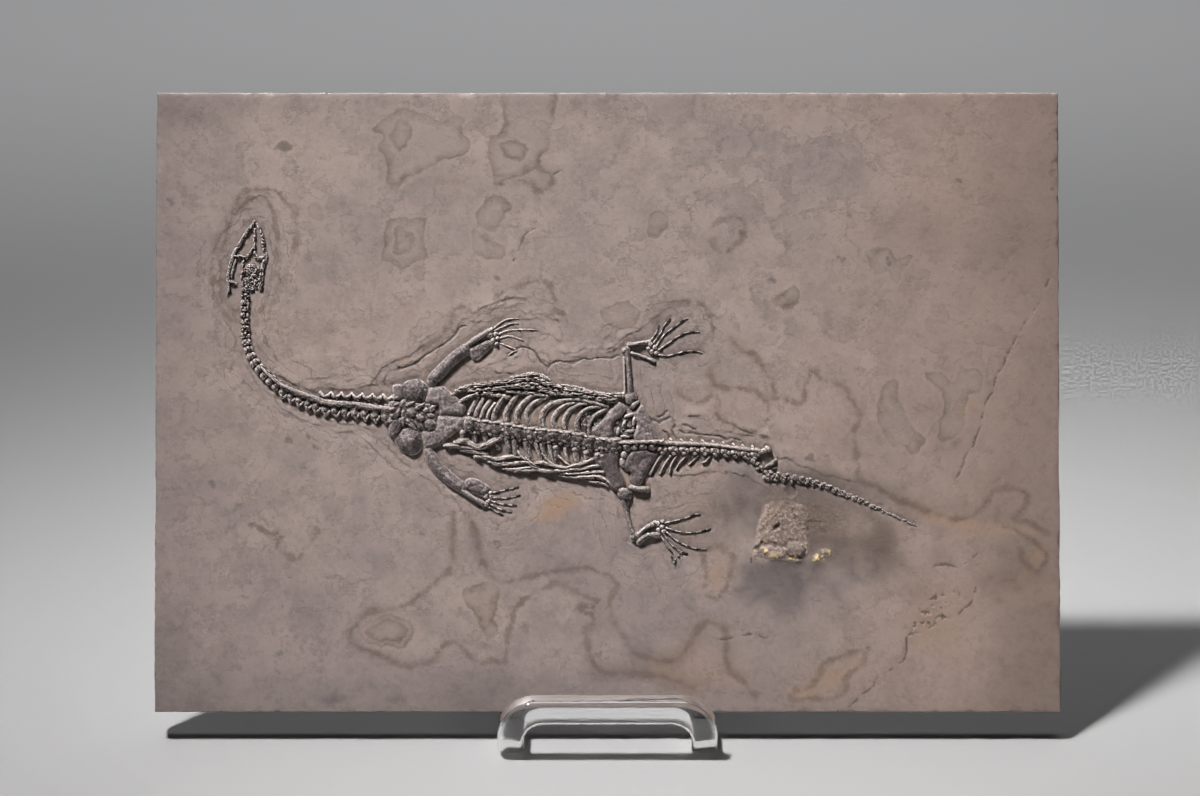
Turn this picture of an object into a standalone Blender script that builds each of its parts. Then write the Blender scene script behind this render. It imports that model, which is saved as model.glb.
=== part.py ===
"""A fossil marine reptile on its limestone slab, standing on a clear one-piece easel.

The skeleton lies belly up on the slab's face, head at the left and tail at the right. Every bone
is modelled flat on the face and leans back with the slab. Metres, +Z up, +X to the viewer's right,
+Y away from the viewer, origin under the middle of the whole object.
"""

import math

import bmesh
import bpy
from mathutils import Matrix, Vector

MM = 0.001

# The stone plate.
SLAB_WIDTH = 280 * MM
SLAB_HEIGHT = 192 * MM
SLAB_THICKNESS = 12 * MM
SLAB_LEAN = math.radians(16)
SLAB_ARRIS = 0.5 * MM

# The easel: a flat ring of clear sheet with rounded corners, bent up at the front and the back.
RING_WIDTH = 67 * MM
RING_BAR = 8 * MM
RING_THICKNESS = 6 * MM
RING_CORNER = 12 * MM
BEND_RADIUS = 5 * MM
LIP_LENGTH = 12 * MM
LIP_LEAN = math.radians(15)
LIP_TO_SLAB = 8.5 * MM
BACK_LENGTH = 72 * MM
BACK_LEAN = math.radians(22)

# Clear space between pieces that touch.
GAP = 0.3 * MM
# How far a rod's or a plate's widest line stands above its flat underside.
RIM = 0.12 * MM

# The skeleton is laid out on a drawing grid over the slab's face, with x to the right, y down and
# the middle of the face at GRID_MIDDLE.
GRID = 0.31 * MM
GRID_MIDDLE = Vector((607.5, 401.5))

BONE = ((0.15, 0.135, 0.13), 0.55)
STONE = ((0.33, 0.275, 0.245), 0.7)


def clear_scene():
    for item in list(bpy.data.objects):
        bpy.data.objects.remove(item, do_unlink=True)


def collection(name):
    made = bpy.data.collections.new(name)
    bpy.context.scene.collection.children.link(made)
    return made


def material(name, colour, roughness, transmission=0.0):
    made = bpy.data.materials.new(name)
    made.use_nodes = True
    shader = made.node_tree.nodes["Principled BSDF"]
    shader.inputs["Base Color"].default_value = (*colour, 1.0)
    shader.inputs["Roughness"].default_value = roughness
    shader.inputs["Metallic"].default_value = 0.0
    shader.inputs["Transmission Weight"].default_value = transmission
    shader.inputs["IOR"].default_value = 1.49
    made.diffuse_color = (*colour, 1.0)
    return made


clear_scene()
PARTS = collection("fossil_marine_reptile_slab")
CUTTERS = collection("cutters")


def empty(name, location, tilt, parent=None):
    made = bpy.data.objects.new(name, None)
    made.location = location
    made.rotation_euler = (tilt, 0, 0)
    made.parent = parent
    PARTS.objects.link(made)
    return made


# Heights and depths of the slab's lower edges, seen from the side, with the lower front edge of
# its face at y = 0 before the whole object is centred.
SLAB_BACK_EDGE_Z = RING_THICKNESS + GAP
SLAB_FRONT_EDGE_Z = SLAB_BACK_EDGE_Z + SLAB_THICKNESS * math.sin(SLAB_LEAN)
SLAB_BACK_EDGE_Y = SLAB_THICKNESS * math.cos(SLAB_LEAN)

MIDDLE_RADIUS = BEND_RADIUS + RING_THICKNESS / 2
OUTER_RADIUS = BEND_RADIUS + RING_THICKNESS
BACK_TOP_Z = (
    RING_THICKNESS / 2
    + MIDDLE_RADIUS * (1 + math.sin(BACK_LEAN))
    + BACK_LENGTH * math.cos(BACK_LEAN)
    - RING_THICKNESS / 2 * math.sin(BACK_LEAN)
)
SLAB_BACK_AT_TOP = SLAB_BACK_EDGE_Y + (BACK_TOP_Z - SLAB_BACK_EDGE_Z) * math.tan(SLAB_LEAN)
REAR_BEND_Y = (
    SLAB_BACK_AT_TOP
    + 2 * GAP
    + BACK_LENGTH * math.sin(BACK_LEAN)
    - BEND_RADIUS * math.cos(BACK_LEAN)
)
FRONT_BEND_Y = -LIP_TO_SLAB
FRONT_Y = (
    FRONT_BEND_Y - OUTER_RADIUS * math.cos(LIP_LEAN) - LIP_LENGTH * math.sin(LIP_LEAN)
)
REAR_Y = REAR_BEND_Y + OUTER_RADIUS
ORIGIN_Y = (FRONT_Y + REAR_Y) / 2

FACE_MIDDLE = (
    0,
    SLAB_HEIGHT / 2 * math.sin(SLAB_LEAN) - ORIGIN_Y,
    SLAB_FRONT_EDGE_Z + SLAB_HEIGHT / 2 * math.cos(SLAB_LEAN),
)
FACE = empty("slab_face_frame", FACE_MIDDLE, math.pi / 2 - SLAB_LEAN)
TABLE = empty("table_frame", (0, -ORIGIN_Y, 0), 0)


def face(x, y):
    """A grid point as metres on the slab's face, x to the right and y up."""
    return Vector(((x - GRID_MIDDLE.x) * GRID, (GRID_MIDDLE.y - y) * GRID))


def object_from(name, mesh, parent, home):
    made = bpy.data.objects.new(name, mesh)
    made.parent = parent
    home.objects.link(made)
    return made


def mesh_of(curve):
    """The curve's tube or plate as a closed mesh; the curve itself is removed."""
    temporary = bpy.data.objects.new("curve", curve)
    CUTTERS.objects.link(temporary)
    bpy.context.view_layer.update()
    evaluated = temporary.evaluated_get(bpy.context.evaluated_depsgraph_get())
    mesh = bpy.data.meshes.new_from_object(evaluated)
    bpy.data.objects.remove(temporary, do_unlink=True)
    bpy.data.curves.remove(curve)
    shape = bmesh.new()
    shape.from_mesh(mesh)
    bmesh.ops.remove_doubles(shape, verts=shape.verts, dist=0.001 * MM)
    shape.to_mesh(mesh)
    shape.free()
    return mesh


def tubes(strokes, sides, flatness):
    """Round rods along strokes of (x, y, width) grid points, pressed flatter across the face."""
    curve = bpy.data.curves.new("rods", "CURVE")
    curve.dimensions = "3D"
    curve.bevel_depth = 1.0
    curve.bevel_resolution = (sides - 4) // 2
    curve.use_fill_caps = True
    for stroke in strokes:
        spline = curve.splines.new("POLY")
        spline.points.add(len(stroke) - 1)
        for point, (x, y, width) in zip(spline.points, stroke):
            point.co = (*face(x, y), 0, 1)
            point.radius = width / 2 * GRID
    mesh = mesh_of(curve)
    mesh.transform(Matrix.Diagonal((1, 1, flatness, 1)))
    return mesh


def plate(outline, height, rounding):
    """A flat bone from its outline in grid points, with a rounded rim."""
    curve = bpy.data.curves.new("plate", "CURVE")
    curve.dimensions = "2D"
    curve.fill_mode = "BOTH"
    curve.extrude = height - rounding
    curve.bevel_depth = rounding
    curve.bevel_resolution = 1
    curve.offset = -rounding
    spline = curve.splines.new("POLY")
    spline.points.add(len(outline) - 1)
    for point, (x, y) in zip(spline.points, outline):
        point.co = (*face(x, y), 0, 1)
    spline.use_cyclic_u = True
    return mesh_of(curve)


def dome(x, y, width, length, height, turn=0.0):
    """A low rounded lump, width by length in grid steps before it is turned on the face."""
    shape = bmesh.new()
    bmesh.ops.create_uvsphere(shape, u_segments=12, v_segments=6, radius=1.0)
    place = (
        Matrix.Translation((*face(x, y), 0))
        @ Matrix.Rotation(math.radians(turn), 4, "Z")
        @ Matrix.Diagonal((width / 2 * GRID, length / 2 * GRID, height, 1))
    )
    bmesh.ops.transform(shape, matrix=place, verts=shape.verts)
    mesh = bpy.data.meshes.new("lump")
    shape.to_mesh(mesh)
    shape.free()
    return mesh


def box_below(name, top):
    """A cutter that takes away everything lower than top on the face."""
    shape = bmesh.new()
    bmesh.ops.create_cube(shape, size=1.0)
    depth = 20 * MM
    place = Matrix.Translation((0, 0, top - depth / 2)) @ Matrix.Diagonal(
        (SLAB_WIDTH * 1.2, SLAB_HEIGHT * 1.2, depth, 1)
    )
    bmesh.ops.transform(shape, matrix=place, verts=shape.verts)
    mesh = bpy.data.meshes.new(name)
    shape.to_mesh(mesh)
    shape.free()
    cutter = object_from(name, mesh, FACE, CUTTERS)
    cutter.hide_render = True
    cutter.display_type = "WIRE"
    return cutter


UNDERSIDE = box_below("bone_underside_cutter", GAP)


def joined(meshes):
    """Several meshes as one, still overlapping."""
    shape = bmesh.new()
    for mesh in meshes:
        shape.from_mesh(mesh)
        bpy.data.meshes.remove(mesh)
    mesh = bpy.data.meshes.new("joined")
    shape.to_mesh(mesh)
    shape.free()
    return mesh


def bone(name, meshes):
    """Fuses overlapping meshes into one bone, flat underneath and a gap above the stone."""
    mesh = joined(meshes)
    mesh.transform(Matrix.Translation((0, 0, GAP + RIM)))
    mesh.name = name
    mesh.materials.append(material(name, *BONE))
    made = object_from(name, mesh, FACE, PARTS)
    cut = made.modifiers.new("flat underside", "BOOLEAN")
    cut.operation = "DIFFERENCE"
    cut.solver = "EXACT"
    cut.use_self = True
    cut.object = UNDERSIDE
    return made


def along(line, distance):
    """The point at this distance along a line of grid points."""
    for start, end in zip(line, line[1:]):
        start, end = Vector(start), Vector(end)
        length = (end - start).length
        if distance <= length:
            return start.lerp(end, distance / length)
        distance -= length
    return Vector(line[-1])


def length_of(line):
    return sum((Vector(b) - Vector(a)).length for a, b in zip(line, line[1:]))


SPOOL = ((0.28, 1.0), (0.72, 1.0))
BEAD = ((0.5, 1.0),)


def vertebrae(line, bones, first_width, last_width, shrink=1.0, waist=0.7, form=SPOOL):
    """A row of bones along line with narrow joints, each shrink times as long as the last."""
    sizes = [shrink**i for i in range(bones)]
    scale = length_of(line) / sum(sizes)
    stroke = []
    start = 0.0
    for i, size in enumerate(sizes):
        width = first_width + (last_width - first_width) * i / (bones - 1)
        for share, swell in ((0.0, waist), *form):
            point = along(line, start + share * size * scale)
            stroke.append((point.x, point.y, width * swell))
        start += size * scale
    end = Vector(line[-1])
    stroke.append((end.x, end.y, last_width * waist))
    return stroke


def rod(width, *points):
    """A rod of one width that thins a little at both ends."""
    last = len(points) - 1
    return [(x, y, width * (0.75 if i in (0, last) else 1.0)) for i, (x, y) in enumerate(points)]


def make_slab():
    """The plate with worn edges, the nodule's lumps grown in it, and the long cracks."""
    half_w, half_h = SLAB_WIDTH / 2, SLAB_HEIGHT / 2
    left = [(0, 0), (0.3, 40), (0, 70), (0.9, 76), (0.8, 84), (0.1, 88), (0.2, 150), (0, 192)]
    right = [(0, 192), (0.7, 180), (0.1, 160), (0.4, 98), (1.6, 94), (1.0, 88), (1.5, 72)]
    right += [(0.5, 66), (0.6, 30), (0, 12), (0.4, 0)]
    outline = [(-half_w + inset * MM, height * MM - half_h) for inset, height in left]
    outline += [(half_w - inset * MM, height * MM - half_h) for inset, height in right]
    curve = bpy.data.curves.new("slab", "CURVE")
    curve.dimensions = "2D"
    curve.fill_mode = "BOTH"
    curve.extrude = SLAB_THICKNESS / 2 - SLAB_ARRIS
    curve.bevel_depth = SLAB_ARRIS
    curve.bevel_resolution = 0
    curve.offset = -SLAB_ARRIS
    spline = curve.splines.new("POLY")
    spline.points.add(len(outline) - 1)
    for point, (u, v) in zip(spline.points, outline):
        point.co = (u, v, 0, 1)
    spline.use_cyclic_u = True
    mesh = mesh_of(curve)
    mesh.transform(Matrix.Translation((0, 0, -SLAB_THICKNESS / 2)))
    mesh.name = "slab"
    mesh.materials.append(material("slab", *STONE))
    slab = object_from("slab", mesh, FACE, PARTS)

    lumps = joined(
        [
            dome(795, 548, 24, 22, 1.6 * MM),
            dome(820, 555, 20, 13, 1.1 * MM, 15),
            dome(779, 541, 26, 34, 0.9 * MM, 20),
            dome(766, 554, 24, 9, 0.8 * MM, -12),
            dome(768, 527, 18, 46, 0.6 * MM, 8),
        ]
    )
    nodule = object_from("nodule_lumps", lumps, FACE, CUTTERS)
    grown = slab.modifiers.new("nodule", "BOOLEAN")
    grown.operation = "UNION"
    grown.use_self = True
    grown.object = nodule

    upper_crack = [(1052, 277, 3), (1035, 307, 3), (1021, 329, 4), (1008, 353, 3), (997, 377, 2)]
    lower_crack = [(976, 586, 3), (969, 601, 4), (952, 615, 5), (930, 622, 4), (908, 636, 5)]
    lower_crack += [(901, 662, 3), (885, 670, 4), (873, 684, 3)]
    grooves = tubes([upper_crack, lower_crack], sides=6, flatness=0.8)
    cracks = object_from("crack_cutter", grooves, FACE, CUTTERS)
    cut = slab.modifiers.new("cracks", "BOOLEAN")
    cut.operation = "DIFFERENCE"
    cut.object = cracks

    for helper in (nodule, cracks):
        helper.hide_render = True
        helper.display_type = "WIRE"
    return slab


def ring_profile():
    """Side view of the easel's sheet: runs of (start, length, point, heading, turn radius)."""
    front_turn = math.pi / 2 - LIP_LEAN
    rear_turn = math.pi / 2 + BACK_LEAN
    base_length = REAR_BEND_Y - FRONT_BEND_Y
    lip_heading = LIP_LEAN - math.pi / 2
    middle_z = RING_THICKNESS / 2 + MIDDLE_RADIUS
    lip_foot = Vector((FRONT_BEND_Y, middle_z)) + MIDDLE_RADIUS * Vector(
        (math.sin(lip_heading), -math.cos(lip_heading))
    )
    top = lip_foot - LIP_LENGTH * Vector((math.cos(lip_heading), math.sin(lip_heading)))
    runs = []
    place, heading, start = top, lip_heading, 0.0
    for length, turn in (
        (LIP_LENGTH, 0.0),
        (MIDDLE_RADIUS * front_turn, front_turn),
        (base_length, 0.0),
        (MIDDLE_RADIUS * rear_turn, rear_turn),
        (BACK_LENGTH, 0.0),
    ):
        runs.append((start, length, place, heading, turn))
        place, heading = run_point(runs[-1], length)
        start += length
    return runs


def run_point(run, distance):
    """Where the sheet's middle is, and which way it heads, this far into a run."""
    _, length, place, heading, turn = run
    if not turn:
        return place + distance * Vector((math.cos(heading), math.sin(heading))), heading
    later = heading + turn * distance / length
    centre = place + MIDDLE_RADIUS * Vector((-math.sin(heading), math.cos(heading)))
    return centre + MIDDLE_RADIUS * Vector((math.sin(later), -math.cos(later))), later


def rounded_outline(half_width, start, end, radius, steps):
    """A rectangle with round corners, as (across, along the sheet) points."""
    points = []
    corners = (
        (half_width - radius, start + radius, -90),
        (half_width - radius, end - radius, 0),
        (-half_width + radius, end - radius, 90),
        (-half_width + radius, start + radius, 180),
    )
    for x, s, first in corners:
        for i in range(steps + 1):
            angle = math.radians(first + 90 * i / steps)
            points.append((x + radius * math.cos(angle), s + radius * math.sin(angle)))
    return points


def make_stand():
    """The clear ring, cut flat with its opening and then bent along the side profile."""
    runs = ring_profile()
    total = sum(run[1] for run in runs)
    curve = bpy.data.curves.new("ring", "CURVE")
    curve.dimensions = "2D"
    curve.fill_mode = "BOTH"
    curve.extrude = RING_THICKNESS / 2
    outlines = (
        rounded_outline(RING_WIDTH / 2, 0, total, RING_CORNER, 5),
        rounded_outline(
            RING_WIDTH / 2 - RING_BAR, RING_BAR, total - RING_BAR, RING_CORNER - RING_BAR * 0.7, 4
        ),
    )
    for outline in outlines:
        spline = curve.splines.new("POLY")
        spline.points.add(len(outline) - 1)
        for point, (x, s) in zip(spline.points, outline):
            point.co = (x, s, 0, 1)
        spline.use_cyclic_u = True
    mesh = mesh_of(curve)

    shape = bmesh.new()
    shape.from_mesh(mesh)
    bend_steps = 6
    for start, length, _, _, turn in runs:
        if turn:
            for i in range(bend_steps + 1):
                bmesh.ops.bisect_plane(
                    shape,
                    geom=shape.verts[:] + shape.edges[:] + shape.faces[:],
                    dist=0.001 * MM,
                    plane_co=(0, start + length * i / bend_steps, 0),
                    plane_no=(0, 1, 0),
                )
    for vertex in shape.verts:
        x, s, height = vertex.co
        run = next((r for r in runs if s <= r[0] + r[1]), runs[-1])
        place, heading = run_point(run, s - run[0])
        upward = Vector((-math.sin(heading), math.cos(heading)))
        y, z = place + height * upward
        vertex.co = (x, y, z)
    shape.to_mesh(mesh)
    shape.free()
    mesh.name = "stand"
    mesh.materials.append(material("stand", (0.95, 0.97, 0.98), 0.03, transmission=1.0))
    return object_from("stand", mesh, TABLE, PARTS)


def make_skull():
    """Thin bars round stone-filled windows, and the rough roof of the brain case."""
    left_jaw = rod(4, (254.7, 222.5), (246.3, 232.8), (237.9, 246.6), (233.5, 256), (231, 263.5))
    left_jaw += [(228.5, 273, 4), (228.3, 281, 4), (228, 293, 3)]
    inner_left = rod(3, (235.6, 258), (231.8, 275), (229, 280))
    right_jaw = rod(5, (255, 223), (259.3, 228.3), (262.4, 238), (264, 249), (265.4, 257))
    right_jaw += [(263, 266.5, 5), (261.4, 275, 6), (260.5, 287, 5)]
    middle = rod(3.4, (254.7, 226), (254, 243), (249.4, 253.5), (245.6, 260), (246, 272))
    cross = rod(3.4, (233, 255.5), (245.6, 258.5), (256.3, 258), (266, 256.6))
    lower_cross = rod(3.5, (229, 281), (236, 282), (244, 280))
    bars = tubes(
        [left_jaw, inner_left, right_jaw, middle, cross, lower_cross], sides=6, flatness=0.8
    )
    roof = [
        dome(252, 276, 18, 20, 1.3 * MM, 10),
        dome(246, 284, 10, 12, 1.1 * MM),
        dome(256, 268, 10, 9, 1.2 * MM),
    ]
    return bone("skull", [bars, *roof])


def make_neck():
    line = [(245.6, 292), (245, 312), (245.6, 324.6), (246.2, 337.4), (248.8, 349), (253.3, 359)]
    line += [(261, 369.3), (271, 379.5), (282.6, 388.4), (298, 396), (312, 401), (326, 405.6)]
    line += [(342.5, 407.5), (359, 409), (375.7, 411.4), (390, 413)]
    row = vertebrae(line, 24, 9.5, 18, shrink=1.025, form=BEAD)
    neck_ribs = []
    for i in range(6):
        x, y = 322 + 10.3 * i, 404.6 + 1.25 * i
        neck_ribs.append([(x, y - 3, 3.4), (x + 4, y - 9.5, 3.4), (x + 9, y - 11.5, 2.4)])
        neck_ribs.append([(x + 11, y + 6, 4), (x + 12.5, y + 13, 2.6)])
    return bone("neck_vertebrae", [tubes([row], 8, 0.75), tubes(neck_ribs, 6, 0.9)])


def make_shoulder():
    bone("clavicles", [tubes([rod(7, (398.3, 384), (397, 402), (396.6, 421))], 6, 0.7)])
    bone("left_scapula", [dome(416.5, 391.7, 23, 21.5, 2.2 * MM, 15)])
    bone("right_scapula", [dome(409.4, 441, 25.5, 24.5, 2.4 * MM)])
    row = [(404, 407.5), (411.4, 411.5), (420.5, 416.5), (428.5, 420.5)]
    bone("shoulder_vertebrae", [tubes([vertebrae(row, 3, 9, 8)], 8, 0.8)])
    left = [(429.5, 391), (437.4, 388), (444.4, 387.5), (450.7, 393.2), (459.1, 400.2)]
    left += [(464.7, 404.4), (465.4, 410.7), (461.2, 413.6), (441.6, 413), (440.9, 409.3)]
    left += [(437.4, 404.4), (429, 402)]
    bone("left_coracoid", [plate(left, 2.0 * MM, 0.7 * MM)])
    right = [(438.8, 417.5), (454.2, 417.5), (463.3, 418.6), (464.2, 422), (461.9, 428.9)]
    right += [(454.2, 432.5), (447.2, 438.8), (440.2, 444), (433.2, 446.5), (427, 446.5)]
    right += [(424.6, 437.4), (424.6, 431), (432.5, 429.6), (436.5, 425.4)]
    bone("right_coracoid", [plate(right, 2.0 * MM, 0.7 * MM)])


def make_arms():
    upper = [(434.6, 377.6, 11), (441.4, 371.4, 12.5), (451.6, 360.5, 12), (459.3, 353.6, 11.5)]
    upper += [(465.7, 349.7, 12)]
    bone("left_humerus", [tubes([upper], 8, 0.75)])
    bone("left_radius", [tubes([rod(5, (469.8, 343), (479, 337), (488, 331.7))], 6, 0.9)])
    ulna = [(470.5, 350), (475.9, 347.4), (486, 342.6), (488, 345.5), (484, 352), (477, 359)]
    ulna += [(472.5, 356.5)]
    bone("left_ulna", [plate(ulna, 1.4 * MM, 0.5 * MM)])
    digits = [
        [(494, 330, 4), (499.6, 323.4, 3.6), (505.9, 319.8, 3.4), (519, 318.8, 2.4)],
        [(495, 332, 4), (506.8, 325.6, 3.4), (518.4, 323.6, 2.4)],
        [(496, 335, 4), (507.7, 330.6, 3.6), (522, 329.5, 3.4), (536, 330, 2.4)],
        [(496, 339, 4), (507.7, 335.9, 3.4), (515.7, 337.5, 3.2), (522.9, 340.2, 2.4)],
        [(497, 341, 4), (508.6, 346.4, 3.4), (516.6, 350, 3.2), (512, 354, 2.4)],
    ]
    wrist = [dome(495, 335.5, 8, 16, 1.2 * MM)]
    bone("left_hand", [tubes(digits, 6, 0.95), *wrist])

    upper = [(431.6, 457, 11), (437.6, 467, 12.5), (449, 477.8, 12), (459, 485, 11.5)]
    bone("right_humerus", [tubes([upper], 8, 0.75)])
    bone("right_radius", [tubes([rod(4.6, (462.5, 490.8), (472, 496.6), (482.5, 502.6))], 6, 0.9)])
    bone("right_ulna", [dome(476.8, 486.6, 21.5, 13.5, 1.5 * MM, -30)])
    digits = [
        [(489, 494, 4), (503.9, 490.2, 3.4), (518.6, 486.9, 2.4)],
        [(490, 497, 4), (505.2, 498, 3.4), (520.5, 495.2, 2.4)],
        [(489, 500, 4), (502.7, 504, 3.4), (516.7, 505.2, 2.4)],
        [(488, 502, 4), (498.8, 508.6, 3.2), (511.6, 511.8, 2.4)],
        [(486.5, 504, 3.6), (493.7, 510, 3), (503, 515.6, 2.2)],
    ]
    wrist = [dome(488.6, 498.6, 6.5, 13, 1.0 * MM, 30)]
    bone("right_hand", [tubes(digits, 6, 0.95), *wrist])


def make_back():
    """The back's vertebrae with the ribs that stay on them, and the hip's low ridge."""
    line = [(468.5, 424), (480.6, 426.6), (495.9, 428.2), (511.2, 430.5), (526.5, 433.5)]
    line += [(541.8, 435.2), (557.9, 436), (569.5, 437.9), (582.9, 440.5), (595.4, 443)]
    line += [(607, 444.5), (623, 445)]
    row = vertebrae(line, 14, 14, 13, waist=0.72)
    row += [(640, 444.6, 6), (655, 444.2, 4)]
    upper_ribs = [
        [(470, 421), (475.2, 411), (478.5, 401)],
        [(477, 421), (483, 409), (487, 401)],
        [(487, 423), (489.5, 412), (494.5, 403)],
        [(498, 423), (497.4, 410), (502.8, 402.9), (506.5, 397.5)],
        [(508, 424), (508.2, 410.5), (513.5, 403.7), (521, 395.5)],
        [(518.5, 426), (517, 412.8), (523.5, 406.7), (533, 397.5)],
        [(530, 428), (527.6, 413.5), (537, 405), (549, 399.5)],
        [(544, 430), (542, 416.5), (548.7, 407.5), (561, 402.6), (577, 402)],
        [(557, 432), (553.8, 420), (561.4, 409.8), (575, 407)],
        [(568, 433), (565.3, 421), (571.3, 413), (583, 409.5)],
        [(579, 435), (577.5, 424.6), (582, 415.4), (592, 411.5)],
        [(590, 436), (588, 425), (596, 417), (603.5, 411.8)],
    ]
    lower_ribs = [
        [(513.5, 435), (515, 450.5)],
        [(536, 438), (536.5, 448)],
        [(555.6, 442), (557, 459)],
        [(575.7, 445), (576.6, 458)],
        [(586.4, 447), (587.6, 454)],
    ]
    ribs = [rod(4.4, *points) for points in upper_ribs] + [rod(5, *points) for points in lower_ribs]
    return bone("back_vertebrae_and_ribs", [tubes([row], 8, 0.95), tubes(ribs, 6, 1.0)])


def make_belly_ribs():
    upper = rod(7, (455, 393), (465.3, 388.5), (488.3, 387.5), (503.6, 386), (518.9, 384.8))
    upper += rod(7, (538, 384.4), (549.5, 389), (557.9, 391), (575.7, 393.8), (593.6, 398))
    upper += [(612, 398.6, 4)]
    over = rod(6, (478, 383.6), (496, 382.6), (519, 380.4), (536, 379.8), (548, 384.6))
    over += rod(6, (566, 388.4), (584, 391.2), (600, 393.6))
    bone("left_belly_ribs", [tubes([upper, over], 6, 0.9)])
    front = [(455, 444.8, 4), (465, 443.9, 5), (471, 446.5, 6), (484, 445.5, 5), (497, 440.6, 4.5)]
    bone("right_front_belly_rib", [tubes([front], 6, 0.9)])
    rods = [
        rod(5, (475, 456.5), (484, 455.7), (497, 458.8), (521, 457)),
        rod(5, (493.6, 464), (511, 465), (528, 463)),
        rod(4, (519.5, 453), (523.5, 459.5), (534, 467)),
        rod(5, (517, 470), (534, 468), (549.5, 469.5), (560, 468.7)),
        rod(4, (545, 455), (550, 461), (556, 467)),
        rod(5, (540, 464.5), (552, 466.5), (566.8, 468.6), (579, 465.2), (588, 462)),
        rod(5, (540, 469.6), (557.9, 471.4), (575.7, 473), (591, 469.6)),
        rod(5, (573, 474), (590, 477.5), (601, 476.8)),
    ]
    bone("right_belly_ribs", [tubes(rods, 6, 0.9)])


def make_hips():
    left_pubis = [(617, 404), (620.4, 403.2), (624.6, 409.3), (620.4, 417.4), (614.4, 420)]
    left_pubis += [(612.3, 427), (612, 434.5), (604.3, 434.5), (594.6, 431.4), (594.4, 427.4)]
    left_pubis += [(602.8, 420.6), (610, 411)]
    bone("left_pubis", [plate(left_pubis, 1.9 * MM, 0.6 * MM)])
    left_ischium = [(637.5, 408), (642.7, 406.4), (645.4, 412), (650.7, 421.8), (658.4, 435)]
    left_ischium += [(657, 439.4), (636.4, 439.4), (633.8, 432.5), (636.4, 425.4), (633.8, 418)]
    bone("left_ischium", [plate(left_ischium, 1.9 * MM, 0.6 * MM)])
    right_pubis = [(596, 457), (601, 455.6), (616.8, 455), (618.6, 459), (618.6, 470)]
    right_pubis += [(622.4, 477), (623.6, 483), (617.7, 486), (611.4, 486), (607.9, 477)]
    right_pubis += [(600.7, 468)]
    bone("right_pubis", [plate(right_pubis, 1.9 * MM, 0.6 * MM)])
    right_ischium = [(634.6, 450), (645.4, 449.8), (655, 453), (654.6, 459.3), (647, 471)]
    right_ischium += [(640, 484.3), (634.6, 485.2), (630.2, 479.8), (630.2, 472.7), (623.9, 469)]
    right_ischium += [(625.7, 459.3), (631, 452)]
    bone("right_ischium", [plate(right_ischium, 1.9 * MM, 0.6 * MM)])


def make_legs():
    shaft = [(629.6, 397, 8), (628.6, 384, 6), (627.4, 366, 6), (626.8, 351.5, 7.5)]
    bone("left_femur", [tubes([shaft], 8, 0.9), dome(629.6, 397.6, 12.5, 13, 1.6 * MM)])
    bone("left_tibia", [tubes([rod(5.4, (629.6, 345.6), (639, 344), (646.6, 343))], 6, 0.9)])
    bone("left_fibula", [tubes([rod(4.6, (633, 353.8), (643, 357), (652.6, 361))], 6, 0.9)])
    toes = [
        [(652, 346, 4), (654.5, 336.5, 3.4), (658.6, 326.5, 2.4)],
        [(654, 346, 4), (661.6, 332.5, 3.4), (665, 325.6, 3), (670.5, 319.6, 2.2)],
        [(655, 348, 4), (664.8, 335.4, 3.4), (675, 327, 3.2), (686, 319.8, 2.2)],
        [(656, 350, 4), (671.4, 341.6, 3.4), (680.4, 335.6, 3.2), (699, 332.4, 2.2)],
        [(655, 352, 4), (667.9, 355.4, 3.4), (689.3, 351.3, 3), (701.8, 353, 2.2)],
    ]
    bone("left_foot", [tubes(toes, 6, 0.95), dome(653.5, 349.2, 8.5, 11, 1.2 * MM)])

    shaft = [(625.4, 497, 7), (627.6, 512, 5), (631, 527, 5), (634, 537.5, 8)]
    bone("right_femur", [tubes([shaft], 8, 0.8), dome(625, 494.6, 13, 13.5, 1.7 * MM)])
    bone("right_tibia", [tubes([rod(5, (641.4, 531), (648, 527), (653.4, 523.6))], 6, 0.9)])
    bone("right_fibula", [tubes([rod(5.4, (641, 541.6), (648, 536), (655.5, 535.6))], 6, 0.9)])
    toes = [
        [(660, 525, 4), (676.6, 520.2, 3.4), (686.4, 517.4, 3), (699, 514, 2.2)],
        [(661, 527.5, 4), (679.3, 531, 3.4), (692.7, 532.3, 3), (709.6, 528.2, 2.2)],
        [(662, 530, 4), (676.6, 540, 3.4), (688.2, 545.6, 3), (705, 548.6, 2.2)],
        [(661.5, 531, 4), (670.4, 543, 3.4), (677.5, 549.3, 3), (686.4, 553.2, 2.2)],
        [(660.5, 531.5, 4), (665, 545, 3), (671, 552.4, 2.2)],
    ]
    bone("right_foot", [tubes(toes, 6, 0.95), dome(660.6, 527.6, 7.5, 11.5, 1.1 * MM)])


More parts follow.
